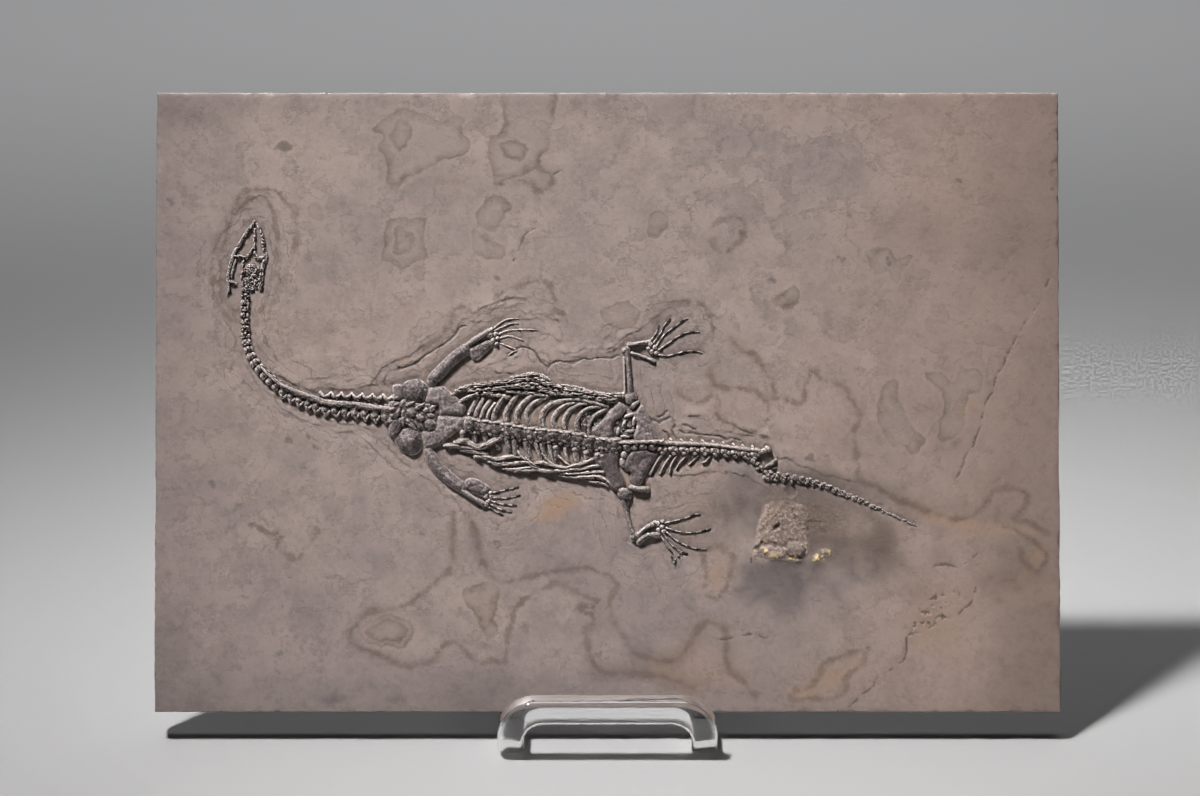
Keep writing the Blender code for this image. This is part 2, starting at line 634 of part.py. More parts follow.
def make_tail():
    line = [(661.5, 447.8), (681.2, 448.6), (701.6, 448.8), (722, 450.6), (742.4, 452.7)]
    line += [(759, 453.4)]
    row = vertebrae(line, 10, 13, 9)
    chevrons = [
        [(666, 451), (658, 463), (650.5, 474)],
        [(673, 451), (666, 464), (661, 473.5)],
        [(680, 451), (672.5, 464), (670, 472.5)],
        [(690, 451), (682, 461), (677.5, 468.5)],
    ]
    hanging = [rod(3.4, *points) for points in chevrons]
    spine_tops = [[(665 + 10 * i, 447 + i / 2, 4), (669 + 10 * i, 440.4 + i, 2.6)] for i in range(9)]
    bone("tail_vertebrae", [tubes([row], 8, 0.9), tubes(hanging + spine_tops, 6, 0.9)])

    line = [(753, 461.6), (760.8, 467.5), (767, 474), (776.4, 476.4), (794.5, 478.8)]
    line += [(812.7, 482.4), (824.8, 486), (843, 493.3), (858.8, 499.4), (873.3, 506.7)]
    line += [(887.9, 512.7), (901.2, 519.4), (912, 523.6)]
    row = vertebrae(line, 22, 8.5, 2.6, shrink=0.985, form=BEAD)
    leaf = dome(766.5, 465, 15, 7, 0.9 * MM, -35)
    bone("tail_tip_vertebrae", [tubes([row], 8, 0.9), leaf])


make_slab()
make_stand()
make_skull()
make_neck()
make_shoulder()
make_arms()
make_back()
make_belly_ribs()
make_hips()
make_legs()
make_tail()
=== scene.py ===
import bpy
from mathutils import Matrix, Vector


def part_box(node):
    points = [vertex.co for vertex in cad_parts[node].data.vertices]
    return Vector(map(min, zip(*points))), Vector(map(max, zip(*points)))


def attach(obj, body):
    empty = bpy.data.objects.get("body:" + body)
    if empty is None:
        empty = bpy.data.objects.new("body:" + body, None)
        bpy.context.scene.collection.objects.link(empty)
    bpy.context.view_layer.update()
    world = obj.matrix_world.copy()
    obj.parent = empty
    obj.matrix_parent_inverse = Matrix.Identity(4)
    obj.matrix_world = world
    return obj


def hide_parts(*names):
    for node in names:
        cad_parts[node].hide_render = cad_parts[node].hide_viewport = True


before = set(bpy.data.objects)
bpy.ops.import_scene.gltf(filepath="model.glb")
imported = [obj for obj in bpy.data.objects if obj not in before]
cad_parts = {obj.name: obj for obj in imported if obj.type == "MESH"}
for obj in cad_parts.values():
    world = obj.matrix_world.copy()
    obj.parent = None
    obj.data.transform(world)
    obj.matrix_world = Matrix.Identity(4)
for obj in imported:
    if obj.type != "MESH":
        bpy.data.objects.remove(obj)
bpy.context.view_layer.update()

import math

import bpy
import numpy as np
from mathutils import Matrix, Vector

# The skull: thin dark bars of jaw and cheek round windows filled with stone, and the rough roof
# of the brain case. It is cut in relief, as every bone here is: a fine sheet raised over the
# plate's face, and run on a little way into the stone.
MM = 0.001
LEAN = math.radians(16)
PLATE_WIDE, PLATE_TALL, PLATE_THICK = 280 * MM, 192 * MM, 12 * MM
ARRIS = 0.5 * MM

# The skeleton is laid out on a drawing grid of 0.31 mm squares over the plate's face: x runs to
# the right, y runs down, and this is the face's middle.
GRID = 0.31 * MM
MIDDLE_X, MIDDLE_Y = 607.5, 401.5

slab_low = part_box("slab")[0]
FACE_Y = slab_low[1] + (PLATE_TALL / 2 - ARRIS) * math.sin(LEAN)
FACE_Z = slab_low[2] + (PLATE_THICK - ARRIS) * math.sin(LEAN) + PLATE_TALL / 2 * math.cos(LEAN)
FACE = Matrix.Translation((0, FACE_Y, FACE_Z)) @ Matrix.Rotation(math.pi / 2 - LEAN, 4, "X")


def grain(x, y, size, seed):
    """Smooth random waves from -1 to 1, with hollows and crests about size grid steps apart."""
    u, v = np.asarray(x, float) / size, np.asarray(y, float) / size
    i, j = np.floor(u), np.floor(v)
    a, b = u - i, v - j
    a, b = a * a * (3 - 2 * a), b * b * (3 - 2 * b)

    def corner(p, q):
        value = np.sin(p * 127.1 + q * 311.7 + seed * 74.7) * 43758.5453
        return value - np.floor(value)

    top = corner(i, j) * (1 - a) + corner(i + 1, j) * a
    bottom = corner(i, j + 1) * (1 - a) + corner(i + 1, j + 1) * a
    return 2 * (top * (1 - b) + bottom * b) - 1


def rough(x, y, size, seed, layers=3):
    """Grain with finer grain on it, each layer half as large and half as deep."""
    total, depth = 0, 1.0
    for layer in range(layers):
        total = total + depth * grain(x, y, size / 2**layer, seed + 17 * layer)
        depth /= 2
    return total


def smooth_step(low, high, value):
    share = np.clip((value - low) / (high - low), 0, 1)
    return share * share * (3 - 2 * share)


def rounded(points, closed=False, cuts=5):
    """More points along a smooth curve through these, with any further values carried along."""
    points = np.array(points, float)
    count = len(points)
    made = []
    for i in range(count if closed else count - 1):
        if closed:
            four = [points[(i + k) % count] for k in (-1, 0, 1, 2)]
        else:
            four = [points[min(max(i + k, 0), count - 1)] for k in (-1, 0, 1, 2)]
        for t in np.arange(cuts) / cuts:
            made.append(
                0.5 * (
                    2 * four[1]
                    + (four[2] - four[0]) * t
                    + (2 * four[0] - 5 * four[1] + 4 * four[2] - four[3]) * t * t
                    + (3 * four[1] - four[0] - 3 * four[2] + four[3]) * t**3
                )
            )
    if not closed:
        made.append(points[-1])
    return np.array(made)


def measure(x, y, line):
    """How far each point is from a line, how far along it lies, on which side, and its width."""
    line = np.array(line, float)
    near = np.full(np.shape(x), 1e9)
    along, side, width = np.zeros_like(near), np.ones_like(near), np.ones_like(near)
    travelled = 0.0
    for a, b in zip(line, line[1:]):
        run = b[:2] - a[:2]
        length = math.hypot(*run) or 1e-9
        px, py = x - a[0], y - a[1]
        t = np.clip((px * run[0] + py * run[1]) / length**2, 0, 1)
        d = np.hypot(px - t * run[0], py - t * run[1])
        closer = d < near
        near = np.where(closer, d, near)
        along = np.where(closer, travelled + t * length, along)
        side = np.where(closer, np.sign(run[0] * py - run[1] * px), side)
        if len(a) > 2:
            width = np.where(closer, a[2] + (b[2] - a[2]) * t, width)
        travelled += length
    return near, along, side, width


def inside(x, y, outline):
    """True where a point lies within a closed outline."""
    held = np.zeros(np.shape(x), bool)
    for a, b in zip(outline, np.roll(outline, -1, axis=0)):
        crosses = (a[1] > y) != (b[1] > y)
        if a[1] != b[1]:
            held ^= crosses & (x < (b[0] - a[0]) * (y - a[1]) / (b[1] - a[1]) + a[0])
    return held


def tiled(wanted, largest):
    """Square cells that halve in size, as (row, column, size), each as large as is wanted there."""
    free = wanted > 0
    cells = []
    size = largest
    while size >= 1:
        high, wide = wanted.shape[0] // size * size, wanted.shape[1] // size * size
        fits = (free & (wanted >= size))[:high, :wide]
        fits = fits.reshape(high // size, size, wide // size, size).all(axis=(1, 3))
        for j, i in np.argwhere(fits) * size:
            cells.append((int(j), int(i), size))
            free[j : j + size, i : i + size] = False
        size //= 2
    return cells


def outlined(cells, width, also=()):
    """Each cell's corners in turn, with those of smaller neighbours that fall on its sides."""
    used = set(also)
    for j, i, size in cells:
        used.update((
            j * width + i, (j + size) * width + i,
            (j + size) * width + i + size, j * width + i + size,
        ))
    faces = []
    for j, i, size in cells:
        a, b = j * width + i, (j + size) * width + i
        c, d = b + size, a + size
        if size == 1:
            faces.append((a, b, c, d))
            continue
        walk = [a, *range(a + width, b, width), b, *range(b + 1, c), c]
        walk += [*range(c - width, d, -width), d, *range(d - 1, a, -1)]
        corners = {a, b, c, d}
        faces.append(tuple(k for k in walk if k in corners or k in used))
    return faces


def window(x, y, points, margin):
    """The part of a grid that holds these points, with a margin round them."""
    low, high = np.min(points, axis=0)[:2] - margin, np.max(points, axis=0)[:2] + margin
    i0, i1 = np.searchsorted(x[0], (low[0], high[0]))
    j0, j1 = np.searchsorted(y[:, 0], (low[1], high[1]))
    return slice(j0, j1), slice(i0, i1)


# Where any bone shows on the face, in whole grid steps, so that the stone can be cut back round it.
TALLY_X, TALLY_Y = 150, 85
bone_shows = np.zeros((640, 920), bool)
BURIED, SUNK, UNDERSIDE = -0.5, -0.6, -0.75


class Relief:
    """A carved sheet over part of the face. Heights are in millimetres above the face."""

    def __init__(self, left, top, right, bottom, step=0.5, grit=0.11):
        self.step, self.grit = step, grit
        self.x, self.y = np.meshgrid(
            np.arange(left, right + step, step), np.arange(top, bottom + step, step)
        )
        self.height = np.full(self.x.shape, -3.0)
        self.tone = np.zeros(self.x.shape)

    def raise_to(self, where, height, tone):
        higher = height > self.height[where]
        self.height[where] = np.where(higher, height, self.height[where])
        self.tone[where] = np.where(higher, tone, self.tone[where])

    def rod(self, points, tall, tone=0.0, flat=0.75, lumps=0.0, size=4.0, seed=1, smooth=True):
        """A rod along (x, y, width) points, with knobs of this height and length on it."""
        points = rounded(points) if smooth else np.array(points, float)
        where = window(self.x, self.y, points, points[:, 2].max() / 2 + 3)
        x, y = self.x[where], self.y[where]
        near, along, side, width = measure(x, y, points)
        total = np.hypot(*np.diff(points[:, :2], axis=0).T).sum()
        end = np.minimum(along, total - along)
        out = near / (width / 2)
        own = np.minimum(0.17 * width + 0.25, tall)
        crown = own * (1 - np.minimum(out, 1) ** 2) ** flat
        swell = 1 + lumps * grain(along, side * 3 + seed * 9.7, size, seed)
        dip = 0.2 * (1 - smooth_step(0, 2.5, end))
        height = (tall - own + crown) * swell * (1 - dip)
        self.raise_to(
            where, np.where(out > 1, (tall - own) * swell - (near - width / 2) * 1.2, height), tone
        )

    def lump(self, x, y, wide, long, tall, turn=0.0, tone=0.0, power=0.75):
        """A rounded lump, wide by long grid steps across, turned clockwise by degrees."""
        reach = max(wide, long) / 2 + 3
        where = window(self.x, self.y, [(x, y)], reach)
        dx, dy = self.x[where] - x, self.y[where] - y
        c, s = math.cos(math.radians(turn)), math.sin(math.radians(turn))
        a, b = (dx * c + dy * s) / (wide / 2), (-dx * s + dy * c) / (long / 2)
        out = np.hypot(a, b)
        own = min(0.15 * min(wide, long) + 0.25, tall)
        crown = tall - own + own * (1 - np.minimum(out, 1) ** 2) ** power
        fall = tall - own - (out - 1) * min(wide, long) * 0.6
        self.raise_to(where, np.where(out > 1, fall, crown), tone)

    def plate(self, outline, tall, rim=3.6, tone=0.0, hollow=0.0, sharp=False, power=0.6):
        """A flat bone with a rounded rim, a little hollow towards its middle."""
        outline = np.array(outline, float) if sharp else rounded(outline, closed=True, cuts=4)
        where = window(self.x, self.y, outline, 4)
        x, y = self.x[where], self.y[where]
        near, _, _, _ = measure(x, y, np.vstack([outline, outline[:1]]))
        depth = np.where(inside(x, y, outline), near, -near)
        own = min(0.32 * rim, tall)
        crown = tall - own + own * (1 - (1 - np.clip(depth / rim, 0, 1)) ** 2) ** power
        dish = hollow * smooth_step(rim, rim + 8, depth)
        fall = tall - own + depth * 1.2
        self.raise_to(where, np.where(depth > 0, crown - dish, fall), tone)

    def soften(self, times):
        """Rounds off creases in what stands clear of the stone."""
        for _ in range(times):
            h = self.height
            around = (
                (np.roll(h, 1, 0) + np.roll(h, -1, 0) + np.roll(h, 1, 1) + np.roll(h, -1, 1)) / 4
            )
            self.height = np.where(h > 0.3, np.where(around > 0.3, around, h), h)

    def weather(self, depth, size, seed, layers=3):
        self.height += depth * rough(self.x, self.y, size, seed, layers) * (self.height > -0.3)

    def piece(self, name, finish, *nodes):
        """Makes the mesh of all that stands above the buried line, closed underneath."""
        h = self.height
        h += self.grit * rough(self.x, self.y, 2.3, len(name), 2) * (h > -0.2)
        shown = h > 0.0
        columns = np.round(self.x[shown] - TALLY_X).astype(int)
        bone_shows[np.round(self.y[shown] - TALLY_Y).astype(int), columns] = True
        kept = np.maximum.reduce([h[:-1, :-1], h[1:, :-1], h[:-1, 1:], h[1:, 1:]]) > BURIED
        wide = h.shape[1]
        fine = [(int(j), int(i), 1) for j, i in np.argwhere(kept)]
        corners = np.array(outlined(fine, wide))
        used, faces = np.unique(corners, return_inverse=True)
        faces = faces.reshape(-1, 4)
        x, y = self.x.ravel()[used], self.y.ravel()[used]
        top = np.stack(
            [(x - MIDDLE_X) * GRID, (MIDDLE_Y - y) * GRID, np.maximum(h.ravel()[used], SUNK) * MM],
            axis=1,
        )
        walk = faces[:, [0, 1, 1, 2, 2, 3, 3, 0]].reshape(-1, 2)
        _, first, times = np.unique(
            np.sort(walk, axis=1), axis=0, return_index=True, return_counts=True
        )
        rim = walk[first[times == 1]]
        below = outlined(tiled(kept * 8, 8), wide, used[np.unique(rim)].tolist())
        base, at = np.unique([k for cell in below for k in cell], return_inverse=True)
        at, base = at.ravel() + len(used), np.searchsorted(used, base)
        under = top[base]
        under[:, 2] = UNDERSIDE * MM
        lower = dict(zip(base.tolist(), range(len(used), len(used) + len(base))))
        ends = np.cumsum([len(cell) for cell in below])
        floor_faces = [tuple(cell[::-1]) for cell in np.split(at, ends[:-1])]
        walls = [(b, a, lower[a], lower[b]) for a, b in rim.tolist()]
        used = np.concatenate([used, used[base]])
        mesh = bpy.data.meshes.new(name)
        mesh.from_pydata(
            np.vstack([top, under]).tolist(), [],
            [tuple(f) for f in faces.tolist()] + floor_faces + walls
        )
        mesh.shade_smooth()
        slope_y, slope_x = np.gradient(h, self.step)
        crest = -(np.gradient(slope_x, self.step, axis=1) + np.gradient(slope_y, self.step, axis=0))
        carried = {"tone": self.tone, "crest": np.clip(crest, -1.5, 1.5), "risen": h}
        for layer_name, values in carried.items():
            layer = mesh.attributes.new(layer_name, "FLOAT", "POINT")
            layer.data.foreach_set("value", values.ravel()[used].astype(np.float32))
        mesh.materials.append(finish)
        made = bpy.data.objects.new(name, mesh)
        bpy.context.scene.collection.objects.link(made)
        made.matrix_world = FACE
        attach(made, "root")
        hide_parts(*nodes)
        return made


class Finish:
    """A material, built up in coats of colour over one another."""

    def __init__(self, name):
        self.material = bpy.data.materials.new(name)
        self.material.use_nodes = True
        self.tree = self.material.node_tree
        self.shader = self.tree.nodes["Principled BSDF"]
        self.where = self.node("ShaderNodeTexCoord").outputs["Object"]
        self.body = None

    def node(self, kind, **settings):
        made = self.tree.nodes.new(kind)
        for key, value in settings.items():
            setattr(made, key, value)
        return made

    def feed(self, socket, value):
        """Sets a socket to a number or a colour, or links it to another node."""
        if isinstance(value, (int, float)):
            socket.default_value = value
        elif isinstance(value, tuple):
            socket.default_value = (*value, 1)
        else:
            self.tree.links.new(value, socket)

    def ramp(self, value, *stops):
        """A colour for each value: stops are (place, colour)."""
        made = self.node("ShaderNodeValToRGB")
        self.feed(made.inputs["Fac"], value)
        elements = made.color_ramp.elements
        while len(elements) < len(stops):
            elements.new(0.5)
        for element, (place, colour) in zip(elements, stops):
            element.position = place
            element.color = (*colour, 1)
        return made.outputs["Color"]

    def noise(self, scale, detail=4.0, roughness=0.6, where=None):
        made = self.node("ShaderNodeTexNoise")
        self.feed(made.inputs["Vector"], self.where if where is None else where)
        self.feed(made.inputs["Scale"], scale)
        self.feed(made.inputs["Detail"], detail)
        self.feed(made.inputs["Roughness"], roughness)
        return made.outputs["Fac"]

    def sums(self, operation, *values):
        made = self.node("ShaderNodeMath", operation=operation)
        for socket, value in zip(made.inputs, values):
            self.feed(socket, value)
        return made.outputs[0]

    def times(self, a, b):
        return self.sums("MULTIPLY", a, b)

    def plus(self, a, b):
        return self.sums("ADD", a, b)

    def minus(self, a, b):
        return self.sums("SUBTRACT", a, b)

    def size(self, value):
        return self.sums("ABSOLUTE", value)

    def mark(self, name):
        return self.node("ShaderNodeAttribute", attribute_name=name).outputs["Fac"]

    def spread(self, value, low, high, to_low=0.0, to_high=1.0):
        made = self.node("ShaderNodeMapRange")
        self.feed(made.inputs["Value"], value)
        ends = ("From Min", "From Max", "To Min", "To Max")
        for end, amount in zip(ends, (low, high, to_low, to_high)):
            self.feed(made.inputs[end], amount)
        return made.outputs["Result"]

    def coat(self, share, colour, kind="MIX"):
        made = self.node("ShaderNodeMix", data_type="RGBA", blend_type=kind)
        for number, value in ((0, share), (6, self.body), (7, colour)):
            self.feed(made.inputs[number], value)
        self.body = made.outputs[2]

    def tint(self, value, low, high, amount, colour):
        """A coat that comes in as a value goes from low to high."""
        self.coat(self.spread(value, low, high, 0, amount), colour)

    def dress(self, roughness, specular, height, strength, distance):
        """Joins colour, roughness, shine and a bump of this height to the shader."""
        self.feed(self.shader.inputs["Base Color"], self.body)
        self.feed(self.shader.inputs["Roughness"], roughness)
        self.feed(self.shader.inputs["Specular IOR Level"], specular)
        made = self.node("ShaderNodeBump")
        self.feed(made.inputs["Strength"], strength)
        self.feed(made.inputs["Distance"], distance)
        self.feed(made.inputs["Height"], height)
        self.feed(self.shader.inputs["Normal"], made.outputs["Normal"])
        return self.material


def bone_finish(name, dark, mid, light, speckle, worn_and_highlight):
    """Fossil bone: grey, with painted shade in its hollows and a painted highlight on its crests,
    which also stands for bone worn pale by the needle.
    """
    bone = Finish(name)
    coarse, fine = bone.noise(1150, 3, 0.7), bone.noise(2700, 3, 0.7)
    bone.body = bone.ramp(bone.noise(260, 5), (0.32, dark), (0.5, mid), (0.7, light))
    bone.coat(
        speckle, bone.ramp(coarse, (0.34, (0.12,) * 3), (0.5, (0.5,) * 3), (0.66, (1, 1, 1))),
        "OVERLAY",
    )
    crest, tone = bone.mark("crest"), bone.mark("tone")
    # Painted highlight: crests are lightened as though the lamp catches them; this also stands for
    # bone worn pale by the needle.
    bone.tint(crest, 0.14, 0.9, worn_and_highlight, (0.72, 0.635, 0.6))
    # Painted shade: hollows and creases are darkened.
    bone.tint(crest, -0.1, -0.7, 0.9, (0.009, 0.007, 0.007))
    bone.tint(tone, 0, 1, 1, (0.42, 0.36, 0.325))
    bone.tint(tone, 0, -1, 1, (0.014, 0.012, 0.012))
    # Painted shade where the bone sinks low into the stone.
    bone.tint(bone.mark("risen"), 0.05, -0.2, 0.3, (0.02, 0.016, 0.015))
    height = bone.plus(fine, bone.times(coarse, 1.3))
    return bone.dress(bone.spread(fine, 0.3, 0.7, 0.17, 0.35), 0.5, height, 0.9, 0.0002)


dark_bone = bone_finish(
    "dark_bone", (0.032, 0.024, 0.023), (0.095, 0.074, 0.072), (0.19, 0.153, 0.146), 0.9, 0.85
)
grey_bone = bone_finish(
    "grey_bone", (0.055, 0.042, 0.042), (0.1, 0.079, 0.079), (0.165, 0.133, 0.132), 0.8, 0.65
)
plain_bone = bone_finish(
    "plain_bone", (0.078, 0.061, 0.062), (0.12, 0.096, 0.098), (0.185, 0.153, 0.153), 1.0, 0.8
)

skull = Relief(222, 214, 274, 300, step=0.4)
left_jaw = [(255, 221, 2.5), (246.5, 232.3, 3), (240, 243, 3), (234.3, 253, 3), (232.6, 258, 3)]
left_jaw += [(230.6, 264, 3), (228.6, 273, 3), (228.2, 280, 3.4), (229, 287, 2.6), (228, 294, 2)]
right_jaw = [(255.3, 221, 2.5), (259.5, 228, 3.2), (262.5, 237.5, 3.4), (263.2, 245, 3.6)]
right_jaw += [(265, 252, 3.4), (265.6, 257.5, 3), (264.4, 261, 3), (262.8, 267, 3.6)]
right_jaw += [(261.2, 275, 4), (261.6, 281, 4), (260, 288, 3.4)]
skull.rod(left_jaw, 0.8, lumps=0.35, size=3, seed=3)
skull.rod(right_jaw, 0.9, lumps=0.5, size=2.4, seed=4)
skull.rod(
    [(254.6, 229, 1.8), (254.3, 243, 2.2), (252, 250, 2), (246.5, 257, 2.4)], 0.9, lumps=0.4, seed=5
)
skull.rod([(254.2, 248, 2), (254.8, 253, 2), (257.5, 257.5, 2.4)], 0.8, lumps=0.4, seed=6)
skull.rod([(234, 255.4, 2.2), (240, 256, 2), (246, 257.6, 2.6)], 1.0, lumps=0.3, seed=7)
skull.rod([(256.3, 258, 2.8), (261, 257.6, 2.6), (266, 256.8, 2.8)], 1.0, lumps=0.4, seed=8)
skull.rod([(235.6, 260, 1.8), (233, 269, 1.8), (231.4, 276, 1.8)], 0.8, lumps=0.4, seed=9)
skull.rod([(228.5, 280.5, 2.4), (232, 282, 2.4), (236, 283.4, 2)], 0.9, lumps=0.3, seed=10)
skull.rod([(244, 261, 2), (242.5, 266, 2), (243.5, 271, 2)], 0.7, lumps=0.4, seed=11)
for i in range(58):
    turn = i * 2.4
    reach = math.sqrt(i / 58)
    x, y = 251.5 + 10.5 * reach * math.cos(turn), 277 + 12 * reach * math.sin(turn)
    size = 2.6 + 1.3 * math.sin(i * 1.7)
    skull.lump(x, y, size + 0.8, size, 0.9 + 0.5 * math.sin(i * 2.9), turn=i * 37)
skull.height = np.where(skull.height > 0, 0.7 * skull.height, skull.height)
skull.tone -= 0.35 * (grain(skull.x, skull.y, 2.2, 22) > 0)
skull.weather(0.4, 1.7, 21, layers=2)
skull.piece("skull_bones", dark_bone, "skull")


# The neck: some two dozen vertebrae that grow towards the shoulder. Near the head they are a
# dark granular cord; further back a smooth upper ridge runs over a row of knobs, with the small
# neck ribs as a zigzag above it and a row of pointed ones below.
def station(line, distance):
    """The place and heading this far along a line."""
    line = np.array(line, float)[:, :2]
    for a, b in zip(line, line[1:]):
        length = np.hypot(*(b - a))
        if distance <= length:
            return a + (b - a) * distance / length, (b - a) / length
        distance -= length
    return line[-1], (line[-1] - line[-2]) / np.hypot(*(line[-1] - line[-2]))


def length_of(line):
    line = np.array(line, float)[:, :2]
    return np.hypot(*np.diff(line, axis=0).T).sum()


def stations(line, first, last):
    """(place, heading, across, turn, share) along a line, ever wider apart towards its end."""
    total = length_of(line)
    made, distance = [], first / 2
    while distance < total:
        share = distance / total
        place, heading = station(line, distance)
        turn = math.degrees(math.atan2(heading[1], heading[0]))
        made.append((place, heading, np.array((-heading[1], heading[0])), turn, share))
        distance += first + (last - first) * share
    return made


neck_line = rounded([
    (245.6, 287), (245.6, 299), (245, 312), (245.6, 324.6), (246.2, 337.4), (248.8, 348.9),
    (253.3, 359), (261, 369.3), (271, 379.5), (282.6, 388.4), (298, 396), (312, 401),
    (326, 405.6), (342.5, 407.5), (359, 408.8), (375.7, 411.4), (396, 413.6),
])
neck = Relief(232, 284, 402, 436, step=0.5)
for place, heading, across, turn, share in stations(neck_line, 6, 11):
    x, y = place
    wide = 8 + 9 * smooth_step(0.1, 0.85, share)
    long = 5.4 + 5.2 * share
    back = smooth_step(0.42, 0.62, share)
    tall = 1.2 + 0.9 * share
    neck.lump(x, y, long * 1.02, wide * 0.72, tall * (1 - 0.28 * back), turn)
    below = place + across * wide * 0.26
    neck.lump(*below, long * 0.86, wide * 0.5, tall * 0.95, turn + 20)
    above = place - across * wide * 0.3
    neck.lump(*above, long * 0.8, wide * 0.36, tall * 0.8 * (1 - 0.5 * back), turn - 15)
    if back > 0.3:
        tip = place + across * (wide * 0.5 + 1.6) + heading * 2.5
        neck.rod(
            [(*(place + across * wide * 0.3 - heading * 1), 4.2), (*tip, 1.8)], tall * 0.8,
            tone=0.25, smooth=False,
        )
        neck.rod(
            [(*(place + across * wide * 0.3 + heading * 5.5), 3.4), (*tip, 1.8)], tall * 0.7,
            tone=0.1, smooth=False,
        )
ridge = []
for place, _, across, _, share in stations(neck_line, 3, 3):
    if share > 0.36:
        wide = 8 + 9 * smooth_step(0.1, 0.85, share)
        ridge.append((*(place - across * wide * 0.2), 2.5 + 4 * smooth_step(0.36, 0.6, share)))
neck.rod(ridge, 2.0, tone=0.12, lumps=0.12, size=10.5, seed=31, flat=0.6)
for i in range(7):
    x, y = 321 + 10.4 * i, 392.6 + 0.45 * i
    neck.rod(
        [(x, y, 2.4), (x + 3.5, y + 3.6, 3.6), (x + 7, y + 3.2, 3.4), (x + 10.5, y + 0.4, 2.2)],
        1.25, seed=i
    )
    neck.rod([(x + 4, y + 3, 3), (x + 6, y + 6, 2.4)], 1.0, seed=i)
head_end = 1 - smooth_step(330, 372, neck.y)
neck.height = np.where(neck.height > 0, neck.height * (1 - 0.36 * head_end), neck.height)
neck.height += head_end * 0.6 * rough(neck.x, neck.y, 2.3, 33, 2) * (neck.height > -0.2)
neck.tone -= head_end * 0.42 * (grain(neck.x, neck.y, 2.4, 35) > -0.1)
neck.weather(0.12, 3.0, 34, layers=2)
neck.piece("neck_bones", dark_bone, "neck_vertebrae")


# The shoulder: two domed shoulder blades, a worn band of collar bone between them, two broad
# breast plates, and the knobs of the few vertebrae that show in the gap. All are grey bone with
# rounded rims, pressed side by side.
collar = Relief(384, 378, 410, 442)
collar.plate(
    [(394, 385.5), (402, 385), (403, 391), (402.4, 399), (396, 400), (393.4, 393)], 1.5, rim=2.5,
    tone=0.12
)
collar.plate(
    [(390, 402), (398, 400.6), (402.4, 407), (401, 416), (396, 420), (389.4, 417.4), (388.6, 409)],
    1.5, rim=3.5
)
collar.plate(
    [(392, 421), (400, 419), (402, 425), (399.6, 432), (395.4, 437), (389.8, 435), (389.4, 428)],
    1.4, rim=3, tone=-0.3
)
for x, y, wide, long, tall, turn in (
    (393, 409, 8, 5, 2.1, -20), (398.6, 412.6, 6, 8, 2.2, 15), (392.6, 415.4, 6, 5, 1.9, 40),
    (397, 404.4, 8, 4.4, 2.0, -15), (402.6, 403.8, 5, 9, 2.0, 30), (400.4, 421, 4, 7, 1.8, 10),
    (391.4, 421.4, 6, 4, 1.4, -30), (396, 398, 7, 4, 1.8, -8), (403.4, 413, 4, 8, 1.7, 20),
):
    collar.lump(x, y, wide, long, tall, turn, tone=0.1 if y < 416 else -0.1)
collar.weather(0.12, 3.2, 42)
collar.piece("collar_bones", grey_bone, "clavicles")

upper_blade = Relief(396, 374, 434, 408)
upper_blade.plate([
    (405.7, 382), (413.5, 379.6), (421.3, 380.4), (427.3, 385), (429.8, 390.7), (427.6, 396.4),
    (423, 400.4), (417, 401.8), (410, 401), (404, 398.8), (401, 394.2), (401.4, 388)
], 2.9, rim=11, tone=-0.25, power=0.9)
upper_blade.soften(160)
upper_blade.height -= (
    0.5 * np.exp(-(((upper_blade.x - 411) / 6) ** 2 + ((upper_blade.y - 393.5) / 5.5) ** 2))
)
upper_blade.weather(0.1, 5, 43)
upper_blade.height += (
    0.2 * rough(upper_blade.x, upper_blade.y, 2.6, 431, 2) * smooth_step(415, 423, upper_blade.x)
)
upper_blade.piece("left_shoulder_blade", plain_bone, "left_scapula")

lower_blade = Relief(390, 422, 428, 460)
lower_blade.plate([
    (395.2, 440), (398, 433.9), (404, 429), (412.6, 427.6), (419.5, 430), (423, 435.6),
    (423, 441.7), (422, 448), (417.6, 453.4), (411.4, 455.4), (404.6, 453), (399, 447.6)
], 3.5, rim=12, power=0.9)
lower_blade.soften(120)
lower_blade.weather(0.07, 4, 44)
lower_blade.height += (
    0.1 * rough(lower_blade.x, lower_blade.y, 2.4, 441, 2) * smooth_step(440, 434, lower_blade.y)
)
lower_blade.piece("right_shoulder_blade", plain_bone, "right_scapula")

